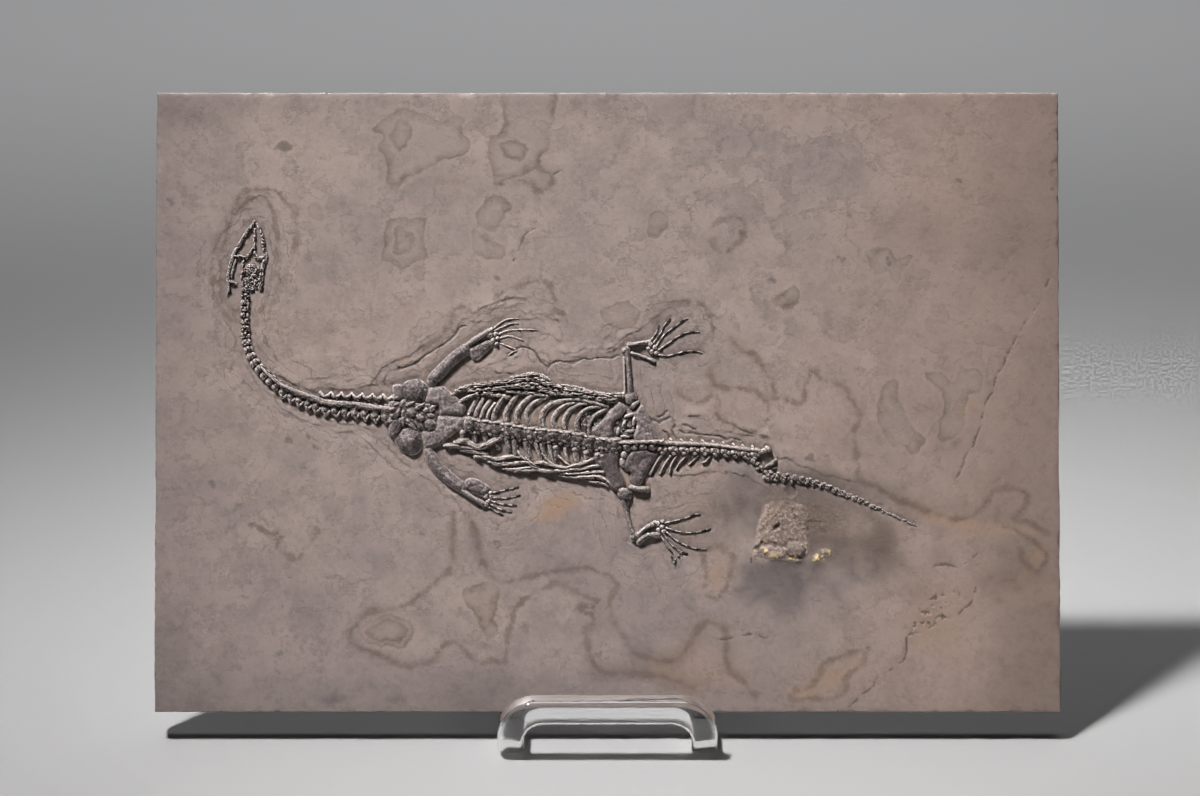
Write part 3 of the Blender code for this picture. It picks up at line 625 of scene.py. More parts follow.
knobs = Relief(398, 396, 444, 434)
for tall, rim, tone, outline in (
    (1.3, 2, -0.3, [
        (404, 402), (430, 404), (438, 412), (437, 424), (424, 430), (406, 424), (401, 412)
    ]),
    (2.3, 4.6, 0.12, [
        (406.8, 409.6), (410.6, 407.2), (415, 408.2), (417.2, 412.4), (415, 417),
        (410.4, 417.6), (406.6, 414)
    ]),
    (2.3, 3.4, 0.1, [
        (416.4, 415.2), (420.4, 413.6), (424.8, 416.4), (425.6, 420), (422, 422), (417.2, 419.8)
    ]),
    (2.5, 4.4, 0.0, [
        (424.8, 421.4), (429, 418.6), (434, 419.4), (437, 423), (435.6, 428.4), (430, 430.8),
        (425.4, 427.6)
    ]),
    (1.9, 2.0, 0.05, [(405, 406), (409, 402.6), (415.2, 401.8), (413, 404.8), (408, 407)]),
    (2.1, 2.0, -0.1, [
        (415.4, 407.8), (419, 404.6), (424.6, 403.4), (424, 406.4), (420, 409.6), (416.6, 410.6)
    ]),
    (2.2, 2.6, 0.3, [(423, 410.4), (426.2, 407.4), (429.2, 408.6), (429, 411.8), (425.4, 413)]),
    (2.2, 2.2, 0.1, [
        (430, 407.6), (432.6, 405.2), (435.8, 406), (435, 410), (432, 413.2), (429.8, 411.4)
    ]),
    (1.8, 1.8, 0.0, [(427, 414), (432, 413), (436, 415), (434, 418), (429, 417.6)]),
    (1.5, 1.4, 0.0, [
        (405.6, 419.6), (408, 418.6), (414.6, 425), (417.6, 429.4), (414.6, 429.6), (409, 425)
    ]),
    (1.5, 1.4, -0.1, [(410.4, 419), (413, 418.6), (418.6, 423), (421.8, 428), (419, 428.6)]),
    (1.5, 1.6, 0.1, [(402.4, 417), (405.6, 415.6), (406, 421.6), (403.4, 425), (401.6, 421)]),
):
    knobs.plate(outline, tall, rim=rim, tone=tone, sharp=True)
knobs.weather(0.08, 3.4, 45)
knobs.piece("shoulder_knobs", grey_bone, "shoulder_vertebrae")

def lone(name, node_name, finish, box, shape, points, tall, weather, soften=0, **settings):
    """A bone that is one rod or one plate, alone on its own sheet."""
    kept = {key: settings.pop(key) for key in ("step", "grit") if key in settings}
    sheet = Relief(*box, **kept)
    draw = sheet.rod if shape == "rod" else sheet.plate
    draw(points, tall, **settings)
    sheet.soften(soften)
    sheet.weather(*weather)
    sheet.piece(name, finish, node_name)


lone(
    "left_breast_plate", "left_coracoid", plain_bone, (420, 378, 472, 422), "plate",
    [
        (428.6, 389.5), (433, 387), (437.4, 386.3), (444.4, 386.8), (450.7, 392), (459.1, 399.2),
        (464.7, 403.6), (466, 407), (465.4, 411), (461.2, 415), (452.8, 415), (441.6, 414.2),
        (440.2, 409.3), (437.4, 404.8), (430.4, 403.4), (426.1, 401.5), (427, 395),
    ],
    1.5, (0.07, 4.5, 46), 8, rim=4.2, tone=0.12, hollow=0.15,
)
lone(
    "right_breast_plate", "right_coracoid", plain_bone, (416, 409, 472, 456), "plate",
    [
        (438.6, 416.6), (445.8, 415.4), (454.2, 416.2), (463.3, 417.6), (465, 421), (462.5, 428.9),
        (454.8, 432.8), (447.6, 439), (440.4, 445), (433.2, 448.2), (426.1, 448.8), (423.6, 443),
        (423, 437.4), (422.6, 431.4), (428, 430.4), (431.8, 429.6), (435.6, 425.8), (437, 420),
    ],
    1.6, (0.07, 4.5, 47), 8, rim=4.2, tone=0.1, hollow=0.15,
)


# The arms: a stout bowed upper arm bone, a thin and a flat forearm bone, small wrist bones and
# five fingers of jointed rods that thin out into the stone. The hands keep thin dark edges.
def jointed(sheet, digits, tall, seed, joint=6.5, tone=-0.25, slim=1.0):
    """Fingers or toes: rows of short rods, thick at the joints, through (x, y, width) points."""
    for number, digit in enumerate(digits):
        path = rounded(digit)
        total = length_of(path)
        count = max(2, round(total / joint))
        _, along, _, width = measure(path[:, 0], path[:, 1], path)
        for i in range(count):
            start, end = total * i / count + 0.3, total * (i + 1) / count - 0.3
            rod = []
            for share, swell in ((0, 1.15), (0.25, 0.8), (0.5, 0.72), (0.75, 0.8), (1, 1.15)):
                distance = start + (end - start) * share
                place, _ = station(path, distance)
                w = np.interp(distance, along, path[:, 2])
                rod.append((*place, slim * w * swell))
            low = 1 - 0.45 * i / count
            sheet.rod(
                rod, tall * low, tone=tone * (i % 2 + i / count), smooth=False, seed=seed + number
            )


def paw(name, node_name, box, knobs, knob, digits, tall, seed, depth, crumbs=(), **settings):
    """A hand or foot: a cluster of knobs (long, tall, turn), and the digits that fan out of it."""
    sheet = Relief(*box, step=0.4)
    for x, y, size in knobs:
        sheet.lump(x, y, size, size * knob[0], *knob[1:])
    jointed(sheet, digits, tall, seed, **settings)
    for x, y in crumbs:
        sheet.lump(x, y, 2.4, 1.6, 0.45, x * 9, tone=-0.5)
    sheet.weather(depth, 2.2, seed + 1, layers=2)
    sheet.piece(name, dark_bone, node_name)


lone(
    "left_upper_arm", "left_humerus", plain_bone, (424, 342, 474, 388), "rod",
    [
        (432.6, 381, 10), (434.5, 377.8, 12), (441.6, 370.8, 12.5), (451.6, 360.6, 12),
        (459.4, 354, 12), (465.4, 350.2, 12.5)
    ],
    2.0, (0.07, 5, 52), tone=-0.15, lumps=0.05, size=14, seed=51, flat=0.8,
)

lone(
    "left_thin_forearm", "left_radius", grey_bone, (464, 325, 494, 348), "rod",
    [(468.6, 344.4, 4), (473, 341.2, 5.4), (480, 336.6, 4.6), (488.6, 331.4, 5)],
    1.7, (0.1, 3, 54), tone=0.12, seed=53,
)

lone(
    "left_flat_forearm", "left_ulna", grey_bone, (466, 336, 498, 366), "plate",
    [
        (469.6, 350), (475.9, 346.2), (482, 343), (488.6, 340.4), (492.6, 343.6), (491.6, 348),
        (485.4, 353.6), (478, 360.4), (471.6, 358)
    ],
    1.2, (0.1, 3, 55), rim=4, hollow=0.15,
)

paw(
    "left_hand_bones", "left_hand", (486, 312, 542, 360),
    (
        (490.5, 335, 5.6), (493.4, 340.6, 5.6), (495.6, 334.2, 4.6), (497.4, 338.6, 4),
        (491.4, 330, 4), (496.6, 344, 4)
    ),
    (1.15, 1.25, 30), [
        [
            (492.5, 329.4, 3.2), (499.6, 323.4, 2.8), (505.9, 319.8, 2.4), (512, 318.6, 2),
            (519.3, 318.6, 1.6)
        ],
        [(494.3, 331, 3.2), (506.8, 325, 2.6), (512, 323.4, 2.2), (518.4, 323, 1.6)],
        [(497, 335, 3.2), (507.7, 330.6, 2.8), (522, 329.5, 2.4), (530, 329.4, 2), (537, 330, 1.5)],
        [(498, 339, 3.2), (507.7, 335.9, 2.8), (515.7, 337.5, 2.4), (523.5, 340.4, 1.6)],
        [(499, 343, 3), (508.6, 346.4, 2.6), (516.6, 350, 2.2), (513, 352, 2), (508.6, 354.9, 1.5)],
    ], 0.34, 56, 0.14, tone=0.3, slim=0.5, joint=4,
)

lone(
    "right_upper_arm", "right_humerus", plain_bone, (422, 444, 472, 496), "rod",
    [
        (429, 451.6, 9), (431.4, 456.6, 12), (437.6, 466.8, 12.5), (449, 477.4, 12.5),
        (458, 484.4, 12), (462.4, 487, 12)
    ],
    2.0, (0.07, 5, 62), tone=0.08, lumps=0.05, size=14, seed=61, flat=0.8,
)

lone(
    "right_thin_forearm", "right_radius", grey_bone, (456, 484, 490, 510), "rod",
    [(461.4, 489, 3.6), (467, 493.4, 4.6), (475, 498.6, 4), (484.4, 504, 4.8)],
    1.6, (0.1, 3, 64), tone=0.14, seed=63,
)

lone(
    "right_flat_forearm", "right_ulna", grey_bone, (461, 472, 494, 502), "plate",
    [
        (464.8, 483), (467.6, 478.8), (475, 478), (483, 482), (490.6, 487.4), (490.4, 492.6),
        (486, 496.6), (478.6, 495.4), (470, 492), (465, 488.4)
    ],
    1.3, (0.1, 3, 65), rim=6, tone=-0.05,
)

paw(
    "right_hand_bones", "right_hand", (481, 482, 524, 520),
    ((486.8, 496, 5.4), (488.6, 501, 4.8), (491, 496.4, 4.4), (487, 504, 4), (490.6, 492.6, 3.6)),
    (1.1, 1.2, 30), [
        [(491.2, 492.9, 2.2), (503.9, 490.1, 1.9), (511, 488.6, 1.8), (518.6, 486.5, 1.4)],
        [(492.4, 497, 2.2), (505.2, 498.2, 1.9), (512.5, 496.8, 1.8), (520.5, 494.8, 1.4)],
        [(491.2, 500.8, 2.2), (502.7, 504, 1.9), (516.7, 505.3, 1.5)],
        [(488.6, 502.6, 2.2), (498.8, 508.4, 1.9), (511.6, 511.7, 1.4)],
        [(485.6, 504.8, 2.1), (493.7, 509.9, 1.8), (503.5, 515, 1.4)],
    ], 0.4, 66, 0.14, tone=-0.7, slim=0.8, joint=4.6,
)


# The back: a thick row of vertebrae with its upper edge toned pale as a painted highlight,
# sickle-shaped ribs that curve up from it, short stout rib heads below it, the first of them
# toned dark as painted shade under the row, and the narrow ridge of the hip vertebrae.
back_line = rounded([
    (466, 423.4), (480.6, 426.2), (495.9, 428), (511.2, 430.4), (526.5, 433.2), (541.8, 435),
    (557.9, 436.6), (569.5, 438.2), (582.9, 440.6), (595.4, 443.4), (607, 445), (622, 445.6),
])
back = Relief(458, 390, 664, 470, step=0.45)


def crumble(x, y, lift, bumps, size, seed, tone):
    """Crushed bone that fills the space between the ribs round a place."""
    here = np.exp(-(((back.x - x) / 13) ** 2 + ((back.y - y) / 13) ** 2) ** 2)
    height = lift * here - 0.35 + bumps * rough(back.x, back.y, size, seed, 2) * here
    back.raise_to((slice(None), slice(None)), np.where(here > 0.1, height, -3), tone)


upper_ribs = (
    [(469, 418, 5.4), (471.4, 410, 5.2), (477.6, 398, 4)],
    [(475.4, 418, 5.4), (477.6, 410, 5), (483.4, 399, 4)],
    [(481.6, 418, 5), (484, 410, 4.8), (490, 401, 4)],
    [(487.6, 419, 4), (490, 411, 4), (495, 404, 3.4)],
    [(494.4, 421, 6.6), (494.6, 413, 6.2), (499.6, 403.4, 5.4), (504, 396, 4)],
    [(507.4, 422, 6.4), (506.8, 413, 6.6), (512, 402.4, 5.8), (518, 394, 4)],
    [(519, 424, 6.2), (517.2, 414.4, 6.4), (524, 402.8, 5.6), (534, 394.6, 4)],
    [(530.6, 426, 6.2), (527.2, 415, 6.6), (531.6, 405.4, 5.8), (547, 396.4, 4)],
    [
        (544.6, 429, 6.4), (541.8, 417.6, 6.6), (548, 406.8, 5.6), (561, 401, 5), (580, 400, 4.4),
        (596, 403.4, 4), (607, 407, 3.4)
    ],
    [
        (557.4, 432, 6.2), (553.6, 421, 6.4), (557.6, 411.6, 5.6), (567, 404.6, 4.4),
        (576, 402.6, 3.6)
    ],
    [(568.4, 434, 6), (564.8, 421.6, 6.4), (569.6, 410.8, 5.4), (578, 404.6, 4), (586, 403.4, 3)],
    [(579.6, 435, 6), (577.2, 423, 6.4), (583.2, 411.8, 5.4), (593, 407.4, 4), (600, 407, 3)],
    [(590, 436, 6), (589, 426, 6), (594, 416.6, 5), (606, 409.4, 3.6)],
)
for number, rib in enumerate(upper_ribs):
    tone = -0.12 if number > 10 else 0.0
    back.rod(
        [(x, y, 0.9 * w) for x, y, w in rib], 1.45 if number > 3 else 1.2, tone=tone, lumps=0.12,
        size=6, seed=72 + number
    )
crumble(589, 421, 1.0, 0.5, 3.4, 701, -0.15)
# Rib heads; the first six are toned dark as painted shade under the row of vertebrae.
for number, rib in enumerate((
    [(463.4, 432, 6), (463.6, 437, 6), (463.8, 442, 5)],
    [(474.8, 432, 5.4), (475, 438, 5.4), (475.4, 444, 4)],
    [(485.6, 434, 5.4), (486, 440, 5.2), (486.8, 446, 4)],
    [(496, 434, 5), (497, 442, 4.6), (498.4, 448, 3.6)],
    [(506.4, 437, 5), (508, 444, 4.6), (509.6, 450, 3.6)],
    [(514.8, 438, 5.6), (515.2, 447, 5.6), (516, 456, 4.6)],
    [(526, 440, 6.4), (528, 450, 6.2), (531, 459, 4.6)],
    [(535, 441, 4), (538, 450, 4), (541, 458, 3)],
    [(541.6, 442, 5), (543, 450, 5), (546, 458, 4)],
    [(549, 443, 4), (551, 452, 4), (554, 461, 3)],
    [(556, 447, 6.2), (555.4, 454, 6.4), (555.4, 462, 5.6)],
    [(565, 446, 4), (566, 454, 3.6), (568, 461, 3)],
    [(575.4, 449, 5.4), (576, 456, 5.4), (577.4, 463.4, 4.6)],
    [(586.6, 452, 6.4), (587.2, 456, 6.4), (588.2, 460, 5)],
    [(597.6, 454, 6.4), (598, 457, 6.4), (598.8, 460, 5)],
)):
    back.rod(rib, 1.5, tone=-0.35 if number < 6 else -0.12, lumps=0.1, size=5, seed=90 + number)
    if number > 9 and number != 11 or number < 2:
        back.lump(rib[0][0], rib[0][1] + 0.4, 6, 5.6, 1.9, tone=0.42 if number > 9 else 0.15)
back.rod([(*place, 13.4) for place, *_ in stations(back_line, 6, 6)], 2.3, flat=0.42, seed=68)
for place, heading, across, turn, share in stations(back_line, 11.6, 12.4):
    bead = smooth_step(0.4, 0.65, share)
    back.lump(
        *(place - across * (1.4 + bead)), 13, 12.4 - 2 * bead, 2.5 + 0.5 * bead, turn, tone=-0.16,
        power=0.4
    )
    # The upper edge, in two rows of knobs toned pale as a painted highlight.
    back.lump(
        *(place - across * 5.2 + heading), 7.4, 2.8, 2.85 + 0.3 * bead, turn - 8,
        tone=0.35 + 0.15 * bead
    )
    back.lump(
        *(place - across * 4.6 - heading * 4.4), 4.6, 2.6, 2.75 + 0.3 * bead, turn + 14, tone=0.25
    )
    back.lump(*(place + across * 3.4 + heading * 0.6), 9, 6.4, 2.5, turn + 6)
    back.lump(*(place + across * 6.4 + heading * 2), 6, 4.6, 1.9, turn + 30, tone=-0.1)
    back.lump(*(place + across * 6 - heading * 3.6), 5, 4.4, 1.8, turn - 20, tone=-0.1)
back.lump(469.6, 423.8, 11, 15, 3.1, 0, tone=0.08, power=0.4)
for x, y, wide, long, tall, tone in (
    (604, 441, 9, 8, 2.4, 0.1), (612, 444, 8, 8, 2.5, 0.0), (606, 449, 9, 7, 2.3, -0.1),
    (618, 447.4, 8, 6, 2.3, 0.05), (626, 446.6, 9, 6.4, 2.4, 0.0), (634, 447, 8, 6, 2.3, 0.1),
    (643, 446.4, 9, 6, 2.4, 0.0), (652, 446.8, 9, 6, 2.4, 0.0), (624, 455, 6, 7, 1.9, 0.1),
    (622.6, 462, 5.6, 10, 1.6, 0.1), (628, 449, 6, 5, 2.0, -0.2),
):
    back.lump(x, y, wide, long, tall, 0, tone=tone)
back.rod([
    (600, 439.4, 3.6), (612, 441.8, 3.2), (626, 442.4, 3.2), (640, 442, 3), (652, 441.6, 3),
    (663, 441, 2.6)
], 2.8, tone=0.34, lumps=0.5, size=3.6, seed=70)
crumble(627, 428, 0.75, 0.55, 3, 702, -0.25)
for x, y, wide, long, tall, turn in (
    (629, 415.4, 9, 3.6, 1.6, -20), (634, 421, 3.6, 9, 1.7, 10), (624, 424, 3.6, 8, 1.5, 20),
    (630, 431, 9, 3.6, 1.5, -10), (638, 428, 3.6, 7, 1.4, 0), (618, 431, 4, 8, 1.4, 8),
    (625, 436.4, 8, 3, 1.5, 6),
):
    back.lump(x, y, wide, long, tall, turn, tone=0.05)
back.weather(0.14, 3.0, 100)
back.piece("back_bones", dark_bone, "back_vertebrae_and_ribs")


# The belly ribs: thin rods that lie over one another along both sides of the belly. The upper
# bundle is thick and knotted; the lower rods are pointed and crossed, and toned paler as a
# painted highlight for their lit flanks.
bundle = Relief(444, 370, 632, 416, step=0.4)
for number, (tall, tone, points) in enumerate((
    (1.3, 0.0, [(450, 395, 1.6), (458, 392, 3), (466, 389.4, 3.2), (474, 388, 2.4)]),
    (2.1, 0.06, [
        (457, 391, 2), (466, 387.2, 3.4), (480, 385, 4.4), (495, 383.6, 5.2), (510, 381.6, 6.4),
        (524, 379.4, 6), (536, 378.8, 6.4), (544, 381, 6)
    ]),
    (1.9, -0.05, [
        (460, 402, 2.4), (468, 397.4, 4), (478, 394, 4.6), (490, 393.6, 4.6), (502, 396.6, 4.4),
        (509, 398, 3)
    ]),
    (2.2, 0.0, [
        (470, 391, 2.4), (484, 389.4, 4), (500, 388, 5.2), (516, 386, 6), (530, 386.6, 6),
        (542, 389, 6), (554, 392.6, 6)
    ]),
    (1.8, 0.1, [(500, 384.4, 3), (512, 383.6, 4), (526, 383.6, 4.4), (537, 384.6, 4)]),
    (1.8, 0.1, [(512, 378, 3), (522, 376, 4), (534, 374.4, 4.4), (543, 376.4, 4), (549, 380.4, 4)]),
    (1.7, -0.2, [(508, 391.4, 3), (520, 392.4, 4), (533, 393.6, 4), (546, 396.4, 3.4)]),
    (2.2, 0.1, [(541, 381, 5), (552, 385.6, 6), (564, 389, 5.6), (578, 390, 5), (584, 392, 4)]),
    (2.0, -0.05, [
        (548, 388, 5), (560, 392.6, 6), (574, 394.4, 6), (590, 396.6, 6), (604, 400, 5.6),
        (614, 401, 4)
    ]),
    (2.0, 0.16, [
        (568, 390, 4), (582, 391, 5), (596, 393.8, 5.4), (608, 395.4, 5.4), (623, 395, 4.6)
    ]),
    (1.9, 0.2, [(598, 396.6, 4), (606, 398.4, 5), (616, 399.6, 4)]),
    (0.9, 0.05, [(562, 385, 2), (573, 386.6, 3), (584, 389, 2)]),
)):
    bundle.rod(
        [(x, y, 0.86 * w) for x, y, w in points], tall, tone=tone, lumps=0.5, size=4,
        seed=101 + number
    )
bundle.height *= (
    1
    - 0.35
    * smooth_step(
        0.25, 0.6, np.abs(grain(bundle.x * 0.9 + bundle.y * 0.5, bundle.y * 2.2, 4.2, 109))
    )
    * (bundle.height > 0.2)
)
bundle.weather(0.34, 2.6, 108)
bundle.piece("left_belly_rods", dark_bone, "left_belly_ribs")

front_rod = Relief(438, 432, 506, 462)
front_rod.rod(
    [(445, 445.2, 2), (451, 445.4, 3.6), (458, 446, 4), (466, 447.4, 4), (474, 448.4, 3.6)], 1.7,
    tone=0.25, lumps=0.3, size=6, seed=110
)
front_rod.rod([
    (456, 442.4, 3), (463, 441.6, 6.4), (470, 443.6, 5), (478, 447, 6.4), (485, 445.6, 5.6),
    (492, 441.8, 5.4), (499.6, 438.4, 4)
], 2.2, tone=0.25, lumps=0.3, size=4, seed=111)
front_rod.rod(
    [(462, 450, 2.4), (470, 451, 3.6), (480, 452.4, 3.4), (487, 453.6, 2.4)], 1.4, tone=0.05,
    lumps=0.3, size=6, seed=112
)
front_rod.lump(462.6, 441, 8.6, 4.4, 2.5, -12, tone=0.55)
front_rod.weather(0.12, 3, 113)
front_rod.piece("right_front_belly_rod", dark_bone, "right_front_belly_rib")

rods = Relief(468, 444, 618, 492, step=0.4)
for number, (tall, tone, points) in enumerate((
    (2.0, 0.45, [
        (475, 456.8, 2.2), (481, 456.4, 3.4), (488, 457.4, 5), (497, 459.2, 5.4),
        (506, 457.6, 5), (514, 456.4, 4), (519, 457, 2.6)
    ]),
    (1.5, 0.0, [(489, 461.4, 2.4), (498, 463, 3.4), (506, 462.4, 3)]),
    (1.9, 0.45, [
        (492.6, 464, 2), (500, 464.2, 3.8), (510, 464, 4.6), (519, 462.6, 4.4), (528, 462, 3)
    ]),
    (1.7, 0.1, [(504, 468, 2.4), (514, 469.4, 4), (524, 468.4, 4), (532, 467.4, 2.6)]),
    (2.0, 0.42, [
        (516, 470.6, 2.6), (526, 470, 4), (538, 469.6, 4.4), (548, 471.4, 4.4), (560, 470.4, 3)
    ]),
    (1.7, 0.3, [
        (517.6, 450.4, 2), (520.6, 455.6, 3), (526, 460.6, 3), (532, 465.6, 3), (538, 468, 2.4)
    ]),
    (1.6, 0.15, [(526, 458, 2), (531, 462.4, 2.6), (538, 466, 2.6)]),
    (1.7, 0.35, [(542.6, 453.4, 2), (546.6, 458.6, 2.8), (552, 463.6, 2.8), (560, 467.4, 2.4)]),
    (1.6, 0.25, [(559, 456, 1.8), (564, 461, 2.6), (569, 465, 2)]),
    (2.1, 0.45, [
        (534, 463, 2.6), (544, 462.8, 4.6), (554, 465.6, 4.6), (566, 467.6, 4.6),
        (580, 464, 4.6), (592, 459.8, 3)
    ]),
    (1.9, 0.3, [
        (540, 470, 2.4), (553, 470.4, 4), (566, 470, 4.4), (580, 468.8, 4.4), (592, 466.4, 4),
        (598, 465.6, 2.8)
    ]),
    (1.7, 0.2, [(562, 473.6, 2), (576, 474, 3.6), (590, 472, 3.8), (603, 471.6, 2.6)]),
    (1.9, 0.42, [
        (576.6, 476.8, 2.4), (586, 477, 4), (596, 476.8, 5.4), (603, 478.6, 4.8),
        (609.6, 483.4, 3)
    ]),
    (1.4, 0.2, [(560, 475.6, 1.6), (569, 477, 2.2), (576, 477.4, 2)]),
    (1.3, -0.1, [(590, 481.6, 2), (600, 482.6, 2.6), (608, 485.6, 2)]),
)):
    # The lower rods' pale tone is a painted highlight.
    rods.rod(
        [(x, y, 0.76 * wide) for x, y, wide in points], 0.8 * tall, tone=0.7 * tone, lumps=0.5,
        size=3.6, seed=120 + number
    )
rods.weather(0.22, 2.6, 140)
rods.piece("right_belly_rods", dark_bone, "right_belly_ribs")


# The hip: four broad plates that meet in pairs over the spine, waisted and flared, with a
# rounded rim that the lamp lights pale on the upper left side, over the painted crest highlight
# of the bone finish. The right pair is the darker one.
def hip_plate(name, node_name, box, outline, finish, seed, tone):
    lone(
        name, node_name, finish, box, "plate", outline, 1.5, (0.08, 4.5, seed), 6,
        rim=3.8, tone=tone, hollow=0.2, grit=0.06,
    )


hip_plate("left_front_hip_plate", "left_pubis", (586, 397, 630, 443), [
    (615.9, 403), (620, 402), (624, 405), (625.7, 409.3), (620.8, 417), (615, 421), (612.8, 427),
    (612.6, 434), (610, 438), (604.3, 438.8), (598, 436.8), (592.6, 433.6), (591.6, 429),
    (597, 424), (603, 419.4), (609.6, 410),
], plain_bone, 151, 0.12)
hip_plate("left_rear_hip_plate", "left_ischium", (628, 400, 665, 446), [
    (636, 408.6), (639, 405.8), (642.7, 405.6), (645.4, 411), (650.7, 420.8), (655.4, 428.6),
    (660.4, 437), (659.4, 441), (653, 442), (646, 441.8), (637, 440.8), (633.6, 436), (634.6, 431),
    (636.6, 425.4), (634.4, 419), (632.9, 413.4),
], plain_bone, 152, 0.05)
hip_plate("right_front_hip_plate", "right_pubis", (588, 444, 630, 494), [
    (593.6, 456.5), (600.7, 452.6), (609, 450.8), (616.8, 450), (618.9, 455), (618, 463),
    (619.4, 470.4), (623.4, 477), (625, 484.6), (621, 488.6), (615.4, 490), (610.6, 488),
    (608.4, 481), (606, 474), (600.7, 467.6), (594.4, 461),
], grey_bone, 153, -0.2)
hip_plate("right_rear_hip_plate", "right_ischium", (619, 444, 661, 490), [
    (631, 451.6), (635, 449.2), (645.4, 448.8), (653, 451), (657, 454.4), (655.2, 460),
    (650.6, 466.4), (646, 474), (641, 483.6), (636.6, 486), (632.4, 484), (629.6, 479),
    (630.4, 473.6), (626, 470.4), (623.6, 466), (625.4, 459.3),
], grey_bone, 154, -0.2)


# The legs: a knobbed thigh bone, two short shin bones, small ankle bones and five long toes.
# The lower thigh is still half sunk in the stone, so only its knob and far end stand out.
leg = Relief(618, 344, 642, 412)
leg.rod(
    [(630.2, 396, 8), (629.8, 388, 5.6), (628.6, 372, 4.8), (627.4, 358, 5.2), (627, 349.6, 6.4)],
    1.3, lumps=0.06, size=12, seed=161
)
leg.rod([(625, 392, 2), (624.6, 376, 1.6), (623.8, 358, 1.6)], 1.1, tone=0.9, seed=162)
leg.lump(631, 398, 12.6, 12, 2.3, -40)
leg.lump(634.6, 404.4, 7.6, 4.4, 2.4, -42, tone=0.25)
leg.lump(624.6, 350, 4, 5, 1.6, 40, tone=0.4)
leg.weather(0.1, 3, 163)
leg.piece("left_thigh", grey_bone, "left_femur")

lone(
    "left_front_shin", "left_tibia", grey_bone, (624, 336, 654, 352), "rod",
    [(629, 344.6, 4), (634, 344, 3.4), (641, 342.8, 3.2), (648.6, 342.6, 4.6)],
    1.3, (0.14, 2.6, 165), tone=0, lumps=0.2, size=7, seed=164, step=0.4,
)

lone(
    "left_rear_shin", "left_fibula", grey_bone, (628, 348, 660, 367), "rod",
    [(632, 353.2, 2.8), (638, 354.8, 2.6), (646, 357.6, 2.6), (654, 361, 3.2)],
    1.0, (0.14, 2.6, 167), tone=0, lumps=0.2, size=7, seed=166, step=0.4,
)

paw(
    "left_foot_bones", "left_foot", (644, 314, 708, 364),
    ((650.4, 344.6, 5), (654.6, 347.4, 4.4), (651.4, 351.4, 5), (655.8, 353, 4), (648.6, 348.4, 4)),
    (1, 1.3, 0), [
        [(650, 341, 3), (654.5, 335.7, 2.6), (657, 330.6, 2.4), (659, 325.4, 2.2)],
        [(653.6, 342.4, 3), (661.6, 331.6, 2.6), (664.3, 325, 2.4), (670.5, 318.8, 2.6)],
        [(656.4, 345.8, 3.2), (664.3, 334.6, 3), (675, 326.3, 2.4), (683, 320, 2), (688, 318, 1.6)],
        [
            (658.9, 349.6, 3.2), (671.4, 341, 3), (680.4, 335, 2.4), (689.3, 332, 2),
            (699.6, 331.8, 1.6)
        ],
        [
            (657.6, 354.4, 3), (667.9, 355.8, 3), (675.9, 353.6, 2.6), (689.3, 350.9, 2.2),
            (702.4, 352.7, 1.6)
        ],
    ], 0.5, 168, 0.16, tone=-0.6, slim=0.5, joint=5,
)

leg = Relief(612, 480, 650, 546)
leg.lump(625, 494, 15, 12.6, 2.2, 15)
leg.lump(623.6, 490.8, 10, 6, 2.2, 10, tone=0.2)
leg.rod([
    (625.4, 497, 9), (625.6, 504, 7), (627, 512, 4), (629.4, 522, 3), (632, 531, 4.4),
    (634.4, 537, 8)
], 1.0, tone=-0.35, lumps=0.2, size=8, seed=171)
leg.lump(634.4, 536.6, 9, 10, 1.6, 20)
leg.rod([(631.4, 487.4, 4), (638, 488.6, 5), (646.6, 489.4, 5.6)], 2.0, tone=0.25, seed=172)
leg.weather(0.12, 3, 173)
leg.piece("right_thigh", grey_bone, "right_femur")

lone(
    "right_front_shin", "right_tibia", dark_bone, (636, 516, 660, 536), "rod",
    [(639.6, 533, 4.6), (643.6, 529.4, 4), (648.4, 525.6, 3.6), (654.6, 523, 5)],
    1.4, (0.16, 2.4, 175), tone=0.1, lumps=0.3, size=5, seed=174, step=0.4,
)

lone(
    "right_rear_shin", "right_fibula", grey_bone, (634, 528, 664, 548), "rod",
    [(639, 542, 5), (643.6, 537.4, 5.4), (648.6, 534.8, 5.2), (658.4, 534.4, 5.4)],
    1.4, (0.14, 2.4, 177), tone=0, lumps=0.2, size=6, seed=176, step=0.4,
)

paw(
    "right_foot_bones", "right_foot", (650, 507, 716, 568),
    ((657.6, 523.6, 5), (661.6, 526.4, 5), (658.4, 529.4, 4.4), (663.4, 531, 4.4), (662.4, 521, 4)),
    (1, 1.2, 0), [
        [
            (664, 522.7, 2.8), (676.6, 520, 2.4), (686.4, 517.3, 2.2), (692.7, 514.6, 2),
            (700, 513.4, 1.6)
        ],
        [
            (666, 527.4, 3), (679.3, 531.4, 2.6), (692.7, 532.4, 2.2), (701.6, 530.7, 2),
            (710.6, 527.6, 1.5)
        ],
        [
            (666.4, 531.6, 3), (676.6, 540.3, 2.6), (688.2, 545.9, 2.4), (697, 548.6, 2),
            (706, 548.6, 1.6)
        ],
        [(663.6, 533.4, 2.8), (670.4, 543.2, 2.4), (677.5, 549.5, 2.2), (687.4, 553.4, 1.6)],
        [(660.8, 535.4, 2.6), (664, 541, 2.2), (667.4, 546.6, 1.9), (672.4, 552.4, 1.4)],
    ], 0.5, 178, 0.16, tone=-0.6, slim=0.5, joint=5,
    crumbs=((671, 556), (675, 559.4), (678.4, 555.4), (674, 562), (680.4, 552.4)),
)


